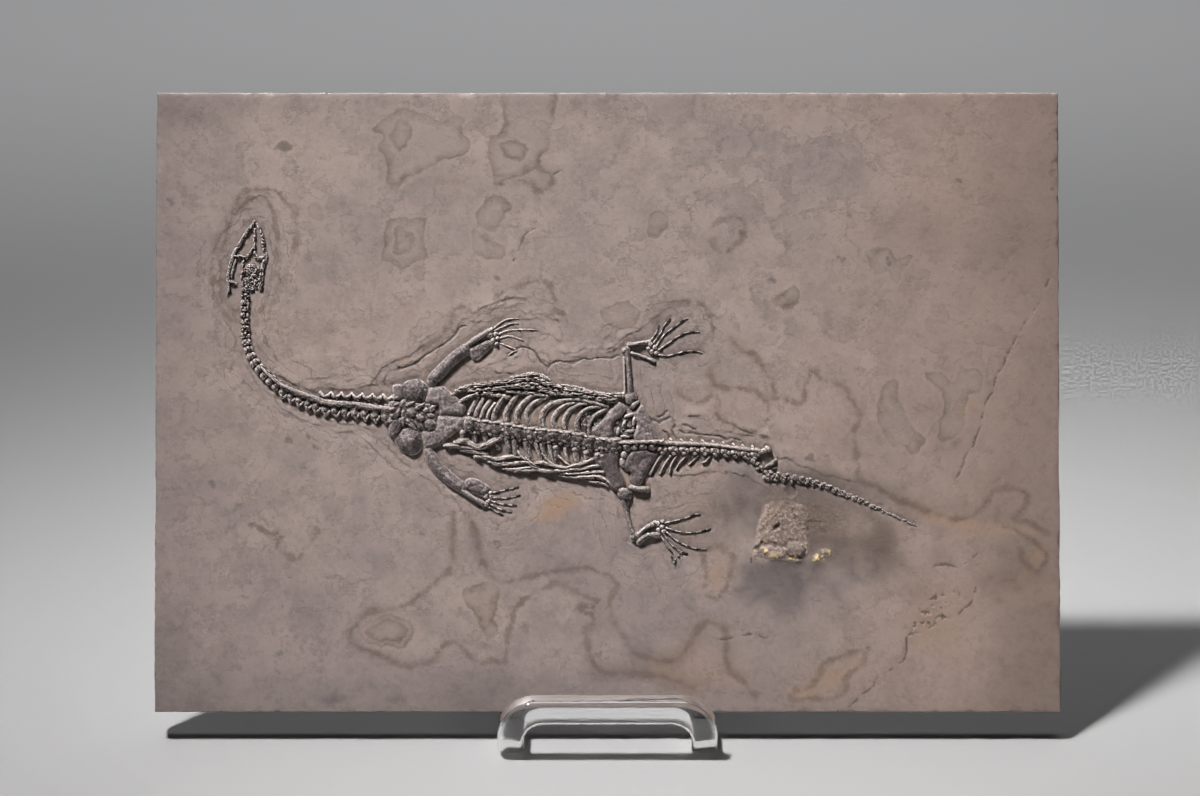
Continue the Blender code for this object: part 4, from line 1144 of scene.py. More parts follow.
# The tail: a pale upper ridge over a row of paired knobs, with small spines above and thin
# chevrons that hang below its root. It breaks near the middle; the second part has slipped down
# and tapers away to a thread.
tail_line = rounded(
    [(657, 446.6), (681.2, 447.4), (701.6, 447.8), (722, 449.6), (742.4, 452), (760, 453.4)]
)
tail = Relief(640, 424, 778, 482, step=0.4)
for place, heading, across, turn, share in stations(tail_line, 10.9, 9.6):
    wide = 13 - 4 * share
    tail.lump(*(place + across * 1.4), 10.4, wide * 0.8, 1.6, turn)
    tail.lump(*(place - across * wide * 0.32), 10.8, 3.8, 2.2 - 0.4 * share, turn + 6, tone=0.45)
    tail.lump(
        *(place + across * wide * 0.16 - heading * 2.6), 4.6, 4.4, 2.1 - 0.4 * share, turn,
        tone=0.42
    )
    tail.lump(
        *(place + across * wide * 0.2 + heading * 2.6), 4.4, 4, 1.9 - 0.4 * share, turn, tone=0.3
    )
    tail.lump(*(place + across * wide * 0.46), 5, 3.6, 1.5, turn + 25)
    if 0.12 < share:
        top = place - across * (wide * 0.42) - heading
        tail.rod([(*top, 2.6), (*(top - across * 2.6 - heading * 2.2), 1.6)], 1.1, smooth=False)
tail.lump(767.6, 448.8, 6, 5, 1.8, 30, tone=0.3)
tail.rod([(757, 453, 5), (764, 450.6, 4.6), (767, 449, 4)], 1.6, lumps=0.3, seed=181)
for number, chevron in enumerate((
    [(662, 454, 3), (656, 463, 2.6), (650, 474, 2.4)],
    [(670, 456, 2.4), (664, 465, 2.2), (660, 473.4, 2.2)],
    [(676, 457, 2.4), (671, 465, 2.2), (669.4, 472.6, 2)],
    [(686, 456, 2.2), (680, 462.4, 2), (676, 468.6, 1.8)],
    [(697, 456, 2.4), (693, 460.6, 2), (689, 464, 1.6)],
    [(709, 457, 2.2), (706, 460.6, 1.8), (702.4, 463, 1.4)],
)):
    tail.rod(
        [(x, y, 0.8 * w) for x, y, w in chevron], 0.8, tone=-0.35, lumps=0.4, size=3,
        seed=182 + number
    )
tail.weather(0.12, 2.6, 190, layers=2)
tail.piece("tail_bones", dark_bone, "tail_vertebrae")

tip_line = rounded([
    (764.2, 475.2), (776.4, 476.2), (794.5, 478.8), (812.7, 482.4), (824.8, 486), (843, 493.3),
    (858.8, 499.4), (873.3, 506.7), (887.9, 512.7), (901.2, 519.4), (914, 524.4),
])
tip = Relief(742, 452, 922, 532, step=0.4)
for x, y, wide, long, tall, turn, tone in (
    (752.6, 460.8, 7, 5, 1.5, 40, 0.3), (757.2, 463.4, 6, 5, 1.3, 10, 0),
    (761, 467.6, 7.5, 5.4, 1.5, 50, 0.2), (757.6, 468.6, 5, 4, 1.2, 0, 0),
    (765.4, 472, 6, 5, 1.3, 30, 0.1), (764.6, 477.6, 7, 5, 1.4, 20, 0.3),
    (771.4, 463, 14, 4.4, 1.5, -35, 0.35), (766, 466.6, 6, 4, 1.2, -35, 0),
    (748.4, 457.6, 5, 4, 1.2, 20, 0.2), (770, 471.6, 5, 3, 1.1, 10, 0),
    (774.6, 468, 5, 3, 0.9, -30, -0.2),
):
    tip.lump(x, y, 0.85 * wide, 0.85 * long, 0.75 * tall, turn, tone)
for number, (place, heading, across, turn, share) in enumerate(stations(tip_line, 8.2, 5.4)):
    wide = 8.6 * (1 - share) ** 0.85 + 1.7
    long = 8 - 2.6 * share
    tall = 1.05 * (1 - share) ** 1.4 + 0.16
    odd = math.sin(number * 2.3)
    tip.lump(
        *(place + across * 0.5 * odd), long * (0.86 + 0.1 * odd), wide * 0.72, tall,
        turn + 14 * odd, tone=-0.1 + 0.25 * share
    )
    if share < 0.5:
        tip.lump(*(place + heading * long * 0.5), long, wide * 0.66, 0.8 * tall, turn, tone=-0.1)
    if share < 0.75:
        tip.lump(
            *(place - across * wide * 0.3 + heading * 2), long * 0.5, wide * 0.32, tall * 1.1,
            turn + 20 * odd, tone=0.3
        )
        tip.lump(
            *(place + across * wide * 0.3 - heading), long * 0.5, wide * 0.4, tall * 0.95,
            turn + 20, tone=0.1
        )
tip.weather(0.36, 2.3, 195, layers=2)
tip_bone = bone_finish(
    "tip_bone", (0.04, 0.03, 0.028), (0.1, 0.078, 0.074), (0.19, 0.15, 0.142), 0.9, 0.4
)
tip.piece("tail_tip_bones", tip_bone, "tail_tip_vertebrae")


# The plate: grey-brown shale split along its bedding, 280 x 192 x 12 mm, with sawn sides that
# have chipped at the arris. The bones are part of it. Its face is cut back in thin steps round
# the skeleton, cracked at the right, stained in ringed pools, and holds a nodule of pyrite.
COLUMNS, ROWS = 904, 620
column, row = np.meshgrid(np.arange(COLUMNS + 1), np.arange(ROWS + 1))
CELL_X = PLATE_WIDE / GRID / COLUMNS
CELL_Y = PLATE_TALL / GRID / ROWS
stone_x = MIDDLE_X + (column - COLUMNS / 2) * CELL_X
stone_y = MIDDLE_Y + (row - ROWS / 2) * CELL_Y

# Stains and splits wander a little from the lines drawn for them.
bent_x = stone_x + 1.7 * rough(stone_x, stone_y, 13, 301, 3)
bent_y = stone_y + 1.7 * rough(stone_x, stone_y, 13, 302, 3)


def spread_from(marked, reach):
    """How many cells away the nearest marked one is, up to a reach."""
    at = np.arange(marked.shape[1])
    before = at - np.maximum.accumulate(np.where(marked, at, -(10**6)), axis=1)
    after = np.minimum.accumulate(np.where(marked, at, 10**6)[:, ::-1], axis=1)[:, ::-1] - at
    across = np.minimum(before, after).astype(float)
    nearest = np.full(marked.shape, float(reach))
    for step in range(-reach, reach + 1):
        moved = np.full(across.shape, 1e6)
        if step >= 0:
            moved[step:] = across[: len(across) - step]
        else:
            moved[:step] = across[-step:]
        nearest = np.minimum(nearest, np.hypot(moved, step))
    return nearest


class Field:
    """Grid steps from drawn lines and outlines; whole ones if the reach is a whole number."""

    def __init__(self, reach):
        self.reach = reach
        self.value = np.full(stone_x.shape, reach)

    def line(self, points, closed=False, wide=0.0):
        points = rounded(points, closed, cuts=4)[:, :2]
        if closed:
            points = np.vstack([points, points[:1]])
        where = window(stone_x, stone_y, points, self.reach + 3)
        near, _, _, _ = measure(bent_x[where], bent_y[where], points)
        self.value[where] = np.minimum(self.value[where], near - wide / 2)

    def area(self, points):
        outline = rounded(points, True, cuts=4)[:, :2]
        where = window(stone_x, stone_y, outline, self.reach + 3)
        x, y = bent_x[where], bent_y[where]
        near, _, _, _ = measure(x, y, np.vstack([outline, outline[:1]]))
        signed = np.where(inside(x, y, outline), -near, near)
        self.value[where] = np.minimum(self.value[where], np.maximum(signed, -self.reach))


def oval(x, y, wide, long, turn=0.0, waves=0.08):
    """A closed outline: an ellipse of these widths, turned by degrees, a little wavy."""
    points = []
    for k in range(12):
        a = math.tau * k / 12
        swell = 1 + waves * math.sin(3 * a + x) + waves * 0.7 * math.sin(5 * a + y)
        dx, dy = wide / 2 * math.cos(a) * swell, long / 2 * math.sin(a) * swell
        c, s = math.cos(math.radians(turn)), math.sin(math.radians(turn))
        points.append((x + dx * c - dy * s, y + dx * s + dy * c))
    return points


pools = [
    [
        (399, 107.5), (421.7, 112.3), (441, 120), (460, 117), (463, 131.5), (468, 141),
        (464.8, 153.8), (444, 160), (420, 171), (401, 182.5), (397, 194), (388, 183),
        (386.7, 169.7), (386, 153.8), (380, 146), (384, 134.6), (374.7, 130), (382, 120),
    ],
    [
        (401, 219), (426.5, 217.6), (434.5, 208.8), (427, 224), (421.7, 240), (428, 255.8),
        (413.8, 261.4), (402.6, 270), (388.3, 260.6), (380, 262), (383.5, 233.5), (390, 222),
    ],
    [
        (504.7, 86), (503, 122), (492, 136), (487, 150.6), (492, 170), (493.5, 186), (512, 180),
        (536.5, 169.7), (539.7, 161.7), (547.7, 142.6), (552.5, 122), (554, 86),
    ],
    [(493.5, 195), (511, 205), (503, 217.6), (493.5, 228.7), (479, 225.5), (479, 211)],
    [(476, 230), (503, 249.4), (500, 259), (474.4, 252.6)],
    [(515, 86), (538, 86), (538, 94), (532, 112), (517.6, 115), (514, 104)],
    [
        (464, 590), (472, 585), (486, 583), (500, 586), (497, 600), (494, 615), (499, 628),
        (492, 638), (482, 628), (476, 612), (466, 604)
    ],
    [
        (602, 308), (614, 303), (630, 305), (641, 312), (637, 320), (624, 328), (610, 326),
        (603, 317)
    ],
    [
        (866.7, 252), (888, 247.7), (897.4, 256.8), (913.4, 255), (905, 266), (897.4, 284),
        (889.7, 272), (873, 275), (870, 261),
    ],
    [
        (923.5, 372), (939.6, 374.5), (954, 382.5), (959.6, 370), (977, 369), (982, 377),
        (981, 390.5), (970, 396), (965, 405), (962, 427), (947.6, 441), (937, 436), (942, 410.6),
        (943.6, 394.5), (934, 386.5),
    ],
    [
        (890, 381), (897, 384), (898, 401), (905, 415), (914, 431), (922, 441), (914, 453.5),
        (901, 445), (890, 443), (880, 425), (877, 405), (882, 388),
    ],
    oval(388.6, 631, 53.4, 32.8),
    oval(657, 223, 20, 28, 15),
    [(773, 300), (784, 290), (797, 287), (799, 300), (790, 309), (778, 306)],
    oval(317, 211, 13, 21, -30),
    oval(283, 145, 15, 8, 0),
]
hearts = [
    [(401.8, 117), (413.8, 130), (399.4, 150), (392.3, 134.6)],
    oval(402.5, 241, 19, 25, 0),
    oval(513, 149, 25, 21, 20),
    oval(487, 238, 12, 9, 20),
    oval(388.6, 631, 40, 22),
]
rings = [
    [
        (352, 629), (354, 640), (362, 648), (378, 653.6), (399, 662), (416.4, 665), (433.7, 659.5),
        (446, 645), (456, 642), (465.7, 649.7), (480.5, 664.5), (492, 661), (502.7, 660),
        (507, 640), (512, 625), (519, 605), (536, 591), (555, 585), (577, 593), (589, 598),
        (600, 601), (596, 606), (582, 605), (577, 607.6), (591, 612), (593.6, 622), (587.6, 629),
        (589, 653), (598, 667.6), (615, 671), (644, 672.4), (668, 677), (692, 687),
    ],
    [
        (352, 629), (362, 617.6), (379, 610), (404, 606.5), (421, 594), (434, 582), (450, 568),
        (454.6, 551), (452, 534), (456, 513)
    ],
    [
        (468.8, 513), (476, 531), (478.4, 550), (488, 569), (498, 579), (519, 579), (536, 574),
        (557.6, 571.6), (584, 568), (603, 573), (615, 583.6), (613, 596), (610.4, 605), (616, 624),
        (627, 636), (632, 648), (651, 658), (668, 660.4), (682, 655.6), (694, 636), (706, 622),
        (723, 627), (725.6, 644), (728, 668), (742, 680), (754, 694),
    ],
    [
        (731.6, 342), (741, 351), (756, 357), (763, 369), (770.6, 380), (775, 396), (785, 398),
        (801, 402), (803.4, 386), (812, 372), (822, 379), (841, 386), (853, 401), (859, 420),
        (853, 437), (858, 454), (858, 479), (875, 488), (895, 499), (919, 508), (938.5, 515),
        (958, 520), (977, 513), (989.6, 493), (999, 488.4), (1019, 488.4), (1026, 498),
        (1023.6, 510), (1014, 517.6), (1030, 524), (1046, 532),
    ],
    [
        (710, 369), (714.6, 384), (731.6, 388.7), (748.7, 390), (761, 396), (769, 405.7),
        (766, 423), (757, 430), (742, 426), (728, 421), (712, 412), (719, 406), (716, 394),
    ],
    [(678, 390), (684, 396), (693, 400), (704, 400), (711, 392)],
    [
        (496, 299), (507, 288), (521.6, 285), (531, 281), (542, 281), (550, 286), (554.4, 299),
        (555, 310), (561.6, 312.4)
    ],
    [(424, 350), (425.6, 347), (440, 339), (449.6, 323), (459, 308.4), (470, 307.6), (473.6, 313)],
    [
        (496, 186), (517.6, 181), (529.6, 183.6), (540.4, 192), (551, 186), (552.4, 175),
        (538, 169), (539, 155)
    ],
    [
        (714, 225), (722, 219), (738, 218), (747, 228), (741, 240), (728, 251), (718, 250),
        (713, 240)
    ],
    [
        (704, 585), (706, 570), (704, 552), (716, 547), (733, 556), (728, 580), (718, 597),
        (706, 594)
    ],
    [(1005, 527), (1017, 531), (1033, 540), (1044, 556), (1038, 570), (1026, 562), (1020, 548)],
    [
        (251, 524), (264, 530), (281, 534), (279, 548), (298, 558), (303, 549), (312, 541),
        (318, 528)
    ],
    [
        (793, 689), (810, 685), (818, 676), (826, 661), (843, 655), (862, 651), (862, 661),
        (846, 674), (843, 689), (833, 698), (822, 697), (791, 698), (793, 689),
    ],
    [(712, 330), (704, 342), (697, 352), (684, 358), (670, 358)],
    [(655, 322), (668, 307), (690, 303), (708, 310), (713, 324), (712, 338)],
]
halos = [
    [
        (250, 199), (269, 201), (275, 215), (277, 245), (276, 262), (272, 280), (268, 292),
        (262, 310), (240, 312), (228, 305), (222, 290), (220, 270), (222, 250), (228, 235),
        (232, 220), (244, 205),
    ],
    [
        (247, 190), (275, 192), (285, 200), (295, 210), (297, 225), (293, 245), (290, 262),
        (282, 280), (274, 300), (266, 322), (236, 322), (224, 312), (214, 290), (212, 262),
        (214, 247), (217, 238), (226, 232), (228, 218), (236, 207),
    ],
]
faint = [
    [(552.4, 175.7), (557, 171.6), (562, 170.4), (563, 174)],
    [(753.6, 552), (752.3, 563), (751, 571), (751, 581), (752.6, 587)],
    [
        (974, 586.5), (970, 600), (960, 613), (953, 617), (936, 618), (930, 626.4), (917, 632),
        (907, 635), (906.4, 649), (901.6, 662.5), (886.4, 670), (875, 677.7), (873, 685),
        (861.7, 693), (852, 702), (837, 709),
    ],
    [
        (1052, 277), (1034.6, 307.5), (1021, 329), (1008, 353), (997, 377), (984, 410), (973, 443),
        (957, 476)
    ],
    [(721, 638), (744, 634), (768, 636), (782, 632)],
    [(930, 566), (943, 564), (957, 566), (969, 560), (976, 553)],
    [(513, 262), (517, 254), (521, 244), (526, 236), (535, 228)],
]
cracks = [
    [
        (499, 343.6), (509, 347.6), (518.4, 349), (525, 347.6), (533, 351.6), (539, 358),
        (544, 364.4), (549, 367), (552, 363.6), (561.6, 362.5), (573, 362), (581, 359.6),
        (590.4, 360), (598.4, 357), (613, 359), (619, 355.6),
    ],
    [(549, 367), (546.4, 372.4)], [(518.4, 349), (515, 353), (508.8, 354)],
    [
        (400, 367), (414.4, 363), (427, 355), (438.4, 348.4), (449.6, 340.4), (456, 334),
        (459, 327), (465.6, 327)
    ],
    [
        (646, 416.4), (651.7, 420), (659, 423), (663.5, 420), (671.5, 419), (674.5, 425),
        (671.5, 428), (675, 437), (679, 440.6)
    ],
    [(658, 418), (662, 416.4), (667, 412)],
    [
        (679.6, 429), (685.5, 432), (691, 431), (698.7, 434), (706.7, 436), (716, 437),
        (728, 438.4), (735, 437), (740, 439)
    ],
    [(663, 429), (667, 434), (669, 440)], [(684, 424), (690, 426), (696, 429)],
]
# Edges where a thin layer of shale ends: each falls towards the bones.
edges = [
    [(477, 313), (483, 307), (496, 303), (510, 296.4), (521.6, 297), (533, 299), (537, 303)],
    [(491, 310), (502, 307.6), (515, 307.6), (525, 313), (539, 312.4), (557, 319.6)],
    [(469, 321), (477, 323), (486.4, 318), (494, 317)],
    [(512, 320.4), (526, 319.6), (536, 316.4), (542, 319.6), (544, 325)],
    [
        (525, 331), (537.6, 330), (541, 334), (549, 335), (556, 340.4), (560, 348.4), (563, 352.4),
        (576, 352.4), (584, 349), (601.6, 348.4), (613, 349), (619, 340.4), (627, 334),
        (640, 328.4),
    ],
    [(563, 354), (574, 357), (592, 353), (611, 353), (617.6, 348.4), (624, 341)],
    [(486, 366), (502, 363), (504, 359.6), (517, 357)], [(493, 371), (503, 373), (512, 374)],
    [(485, 353), (493, 348.4), (503, 347)],
    [
        (276, 397), (300, 412), (332, 420.6), (364, 427), (381, 438), (384, 442.5), (399, 458.5),
        (421, 474.5), (443.5, 489), (456, 499)
    ],
    [(283, 409), (306, 421), (335, 429), (358, 434), (373, 446), (388, 462), (406, 477)],
    [(448, 467), (461, 462), (471, 463.4)],
    [(270, 371), (290, 383), (312, 391), (330, 387), (350, 389), (368, 386), (388, 384)],
    [(384, 382), (388, 373), (396, 368), (404, 366)],
    [(372, 384), (380, 371), (392, 362), (408, 356), (424, 346)],
    [
        (688, 416), (696, 416.4), (703, 417), (709, 421.5), (712, 429), (719, 433), (731, 432),
        (743, 432.5), (751.5, 435), (766, 438.4)
    ],
    [(728, 422), (743, 428), (756, 433.3), (768, 437)],
    [
        (770.5, 448), (778, 457.5), (787, 457.5), (801, 466), (816, 469), (825, 475), (845, 478),
        (857, 483)
    ],
    [(664, 470), (690, 476), (712, 470), (740, 474), (762, 486)],
    [
        (764.5, 503), (774, 502.4), (783.5, 503.4), (790.5, 504.7), (797.4, 504.7), (804.3, 502.5),
        (811.3, 505.5)
    ],
]
spots = [oval(x, y, w, l, t, 0.15) for x, y, w, l, t in (
    (170.5, 203.5, 8, 6, 0), (498, 280, 7, 5, 0), (481, 283, 5, 4, 0), (839, 257, 9, 6, 20),
    (772, 280, 7, 6, 0), (280, 653.5, 6, 5, 0), (212, 485, 5, 4, 0), (317, 448, 6, 4, 0),
    (216, 469, 4, 3, 0), (289, 440, 5, 4, 0), (791, 491, 13, 10, 30), (776.8, 526, 9, 6, 30),
    (283, 145, 9, 4, 10), (889, 262, 8, 5, 30), (500, 545, 10, 5, 10), (1013.9, 235.3, 6, 5, 0),
    (960.4, 178, 5, 4, 0), (866.5, 647.3, 5, 4, 0), (810, 457.5, 9, 7, 10), (687, 437.7, 5, 4, 0),
    (725, 229, 3.4, 3, 0), (733, 231.6, 4, 3, 0), (741, 232.6, 3.4, 3, 0), (1053, 161, 4, 7, 20),
    (1052.6, 172, 5, 9, -20), (1056, 184, 3, 10, 0), (1059, 440, 3.4, 18, 0),
    (1059.4, 472, 3.4, 16, 0), (1058, 130, 2.6, 18, 0), (157, 677.5, 4, 10, -22),
    (155.4, 690.6, 4, 7, 0), (156, 497, 4, 9, 0), (1059.5, 560, 3.4, 12, 0),
    (1059.5, 612, 3, 20, 0),
)]

REACH = {"pool": 14.0, "ring": 6, "heart": 8, "spot": 6}
pool, ring, heart, spot = [Field(reach) for reach in REACH.values()]
crack, edge, hair = Field(4), Field(5), Field(4)
for field, outlines in ((pool, pools), (heart, hearts), (spot, spots)):
    for outline in outlines:
        field.area(outline)
for field, lines in ((ring, rings), (crack, cracks), (edge, edges), (hair, faint)):
    for line in lines:
        field.line(line)
for outline in halos:
    ring.line(outline, closed=True)

band = Field(14)
for line in rings[:6]:
    band.line(line)

shown_at = (np.round(stone_y - TALLY_Y).astype(int), np.round(stone_x - TALLY_X).astype(int))
BONE_REACH = 44
bone_away = spread_from(bone_shows[shown_at], BONE_REACH)
edge_away = np.minimum.reduce([column, COLUMNS - column, row, ROWS - row]).astype(float)


def glow(x, y, wide, long, turn=0.0, ragged=0.25, seed=1):
    """1 at a place and fading out round it, with a ragged border."""
    c, s = math.cos(math.radians(turn)), math.sin(math.radians(turn))
    dx, dy = stone_x - x, stone_y - y
    out = np.hypot((dx * c + dy * s) / (wide / 2), (-dx * s + dy * c) / (long / 2))
    return np.exp(-(np.maximum(out + ragged * broad_grain, 0) ** 2))


broad_grain = rough(stone_x, stone_y, 34, 201, 4)
fine_grain = rough(stone_x, stone_y, 7, 202, 3)

# Heights in millimetres: faint waves, thin steps down to the bones, and a furrow round each bone.
level = 0.09 * rough(stone_x, stone_y, 110, 203, 3) + 0.022 * rough(stone_x, stone_y, 12, 204, 3)
ragged = bone_away + 4.5 * broad_grain + 1.3 * fine_grain
level -= 0.1 * smooth_step(16, 14.8, ragged)
level -= 0.07 * smooth_step(23.5, 22.3, ragged + 4 * grain(stone_x, stone_y, 60, 205))
quiet = (
    glow(684, 334, 64, 54, 0, 0) + glow(690, 536, 70, 66, 0, 0) + glow(518, 334, 56, 50, 0, 0)
    + glow(508, 500, 40, 40, 0, 0)
)
quiet += (
    1.2 * glow(248, 258, 64, 110, 0, 0) + glow(247, 325, 50, 90, 0, 0)
    + 0.8 * glow(845, 497, 180, 44, 20, 0)
)
level -= (
    0.25 * smooth_step(4.0, 1.0, bone_away + 0.8 * fine_grain) * (1 - 0.75 * np.minimum(quiet, 1))
)
level += 0.045 * rough(stone_x, stone_y, 2.6, 207, 2) * smooth_step(14, 5, ragged)
for outline in halos:
    one = Field(16)
    one.area(outline)
    level -= 0.08 * smooth_step(0.8, -0.8, one.value + 0.8 * fine_grain)
level -= 0.32 * smooth_step(1.1, 0.1, crack.value + 0.5 * fine_grain)
level += 0.05 * smooth_step(4, 1.4, crack.value) * smooth_step(0, 1, fine_grain)
broken = smooth_step(-0.45, 0.2, grain(stone_x, stone_y, 5, 216) + 0.5 * broad_grain)
level -= 0.12 * smooth_step(1.3, 0.2, hair.value) * broken
for outline in edges:
    line = rounded(outline, cuts=4)
    where = window(stone_x, stone_y, line, 12)
    near, _, side, _ = measure(bent_x[where], bent_y[where], line)
    level[where] += (
        0.2 * smooth_step(0.7, -0.3, near * side) * smooth_step(11, 1, near)
        * smooth_step(-1.2, 0.3, fine_grain[where])
    )

between = glow(548, 414, 118, 34, 6, 0.1)
level += 0.6 * smooth_step(0.3, 0.7, between)

# The nodule: a granular patch of pyrite with a ledge, a slit, a round boss and gold crystals.
patch, ledge, slit, smear = Field(10), Field(6), Field(5), Field(8)
patch.area([
    (764.5, 503), (783.5, 503.4), (797, 505), (806, 511), (807, 530), (809, 540), (807, 549),
    (800, 557), (790, 560), (760, 558.4), (754, 555), (755, 547), (758.4, 536), (758.4, 524),
    (761, 518.5), (762.7, 509),
])
ledge.line([(755, 549), (760, 544), (767, 542.4), (772.3, 543), (778.3, 545.6), (784, 547.6)])
slit.line([(778.6, 523.4), (776.8, 526.2), (774.8, 529)], wide=0.5)
for line in (
    [(796, 517), (803, 521), (812, 524), (822, 523.5)], [(806, 530), (815, 530), (824, 532.5)],
    [(801, 525), (809, 527), (819, 528.4)]
):
    smear.line(line, wide=1.5)
rind = smooth_step(2, -1.5, patch.value + 1.2 * fine_grain)
gritty = rough(stone_x, stone_y, 3.4, 230, 3)
level += rind * (0.2 + 0.13 * rough(stone_x, stone_y, 9, 208, 3) + 0.12 * gritty)
boss = np.hypot((stone_x - 795) / 10.2, (stone_y - 549.4) / 7.6)
level += np.where(boss < 1, (1.15 + 0.1 * gritty) * np.sqrt(np.maximum(1 - boss**2, 0)), 0)
boss = smooth_step(1.1, 0.8, boss)
lower_boss = np.hypot((stone_x - 795.7) / 6, (stone_y - 562.4) / 4.4)
level += np.where(lower_boss < 1, 0.55 * np.sqrt(np.maximum(1 - lower_boss**2, 0)), 0)
ochre = glow(768, 552, 32, 9, 8, 0.1)
ore_patch = glow(821, 555.4, 21, 9, -33, 0.1)
level += ochre * (0.4 + 0.16 * gritty) + ore_patch * (0.45 + 0.2 * gritty)
level -= (
    0.4 * smooth_step(2.4, 0.4, ledge.value + 1.2 * gritty) + 0.5 * smooth_step(1.5, 0, slit.value)
)
level -= 0.18 * smooth_step(1.5, -0.5, smear.value + fine_grain)
top_pit = np.hypot((stone_x - 790.5) / 6.4, (stone_y - 490.8) / 6.6)
level += 0.12 * smooth_step(1.5, 1.05, top_pit) - 0.4 * smooth_step(1.1, 0.7, top_pit)

# The pecked patch at the lower right, and chips along the arris.
pecked = (
    glow(931, 612, 66, 30, -35)
    * smooth_step(0.0, 0.9, 0.4 * fine_grain + rough(stone_x, stone_y, 3.4, 209, 2))
)
level -= 0.22 * smooth_step(0.2, 0.6, pecked)
chip = smooth_step(0.15, 1.0, rough(stone_x, stone_y, 9, 210, 3))
level -= smooth_step(5, 0, edge_away) * (0.1 + 0.5 * chip)
level = np.where(edge_away == 0, level - 0.26, level)
level -= smooth_step(2.5, 0, row) * (0.12 + 0.25 * chip)
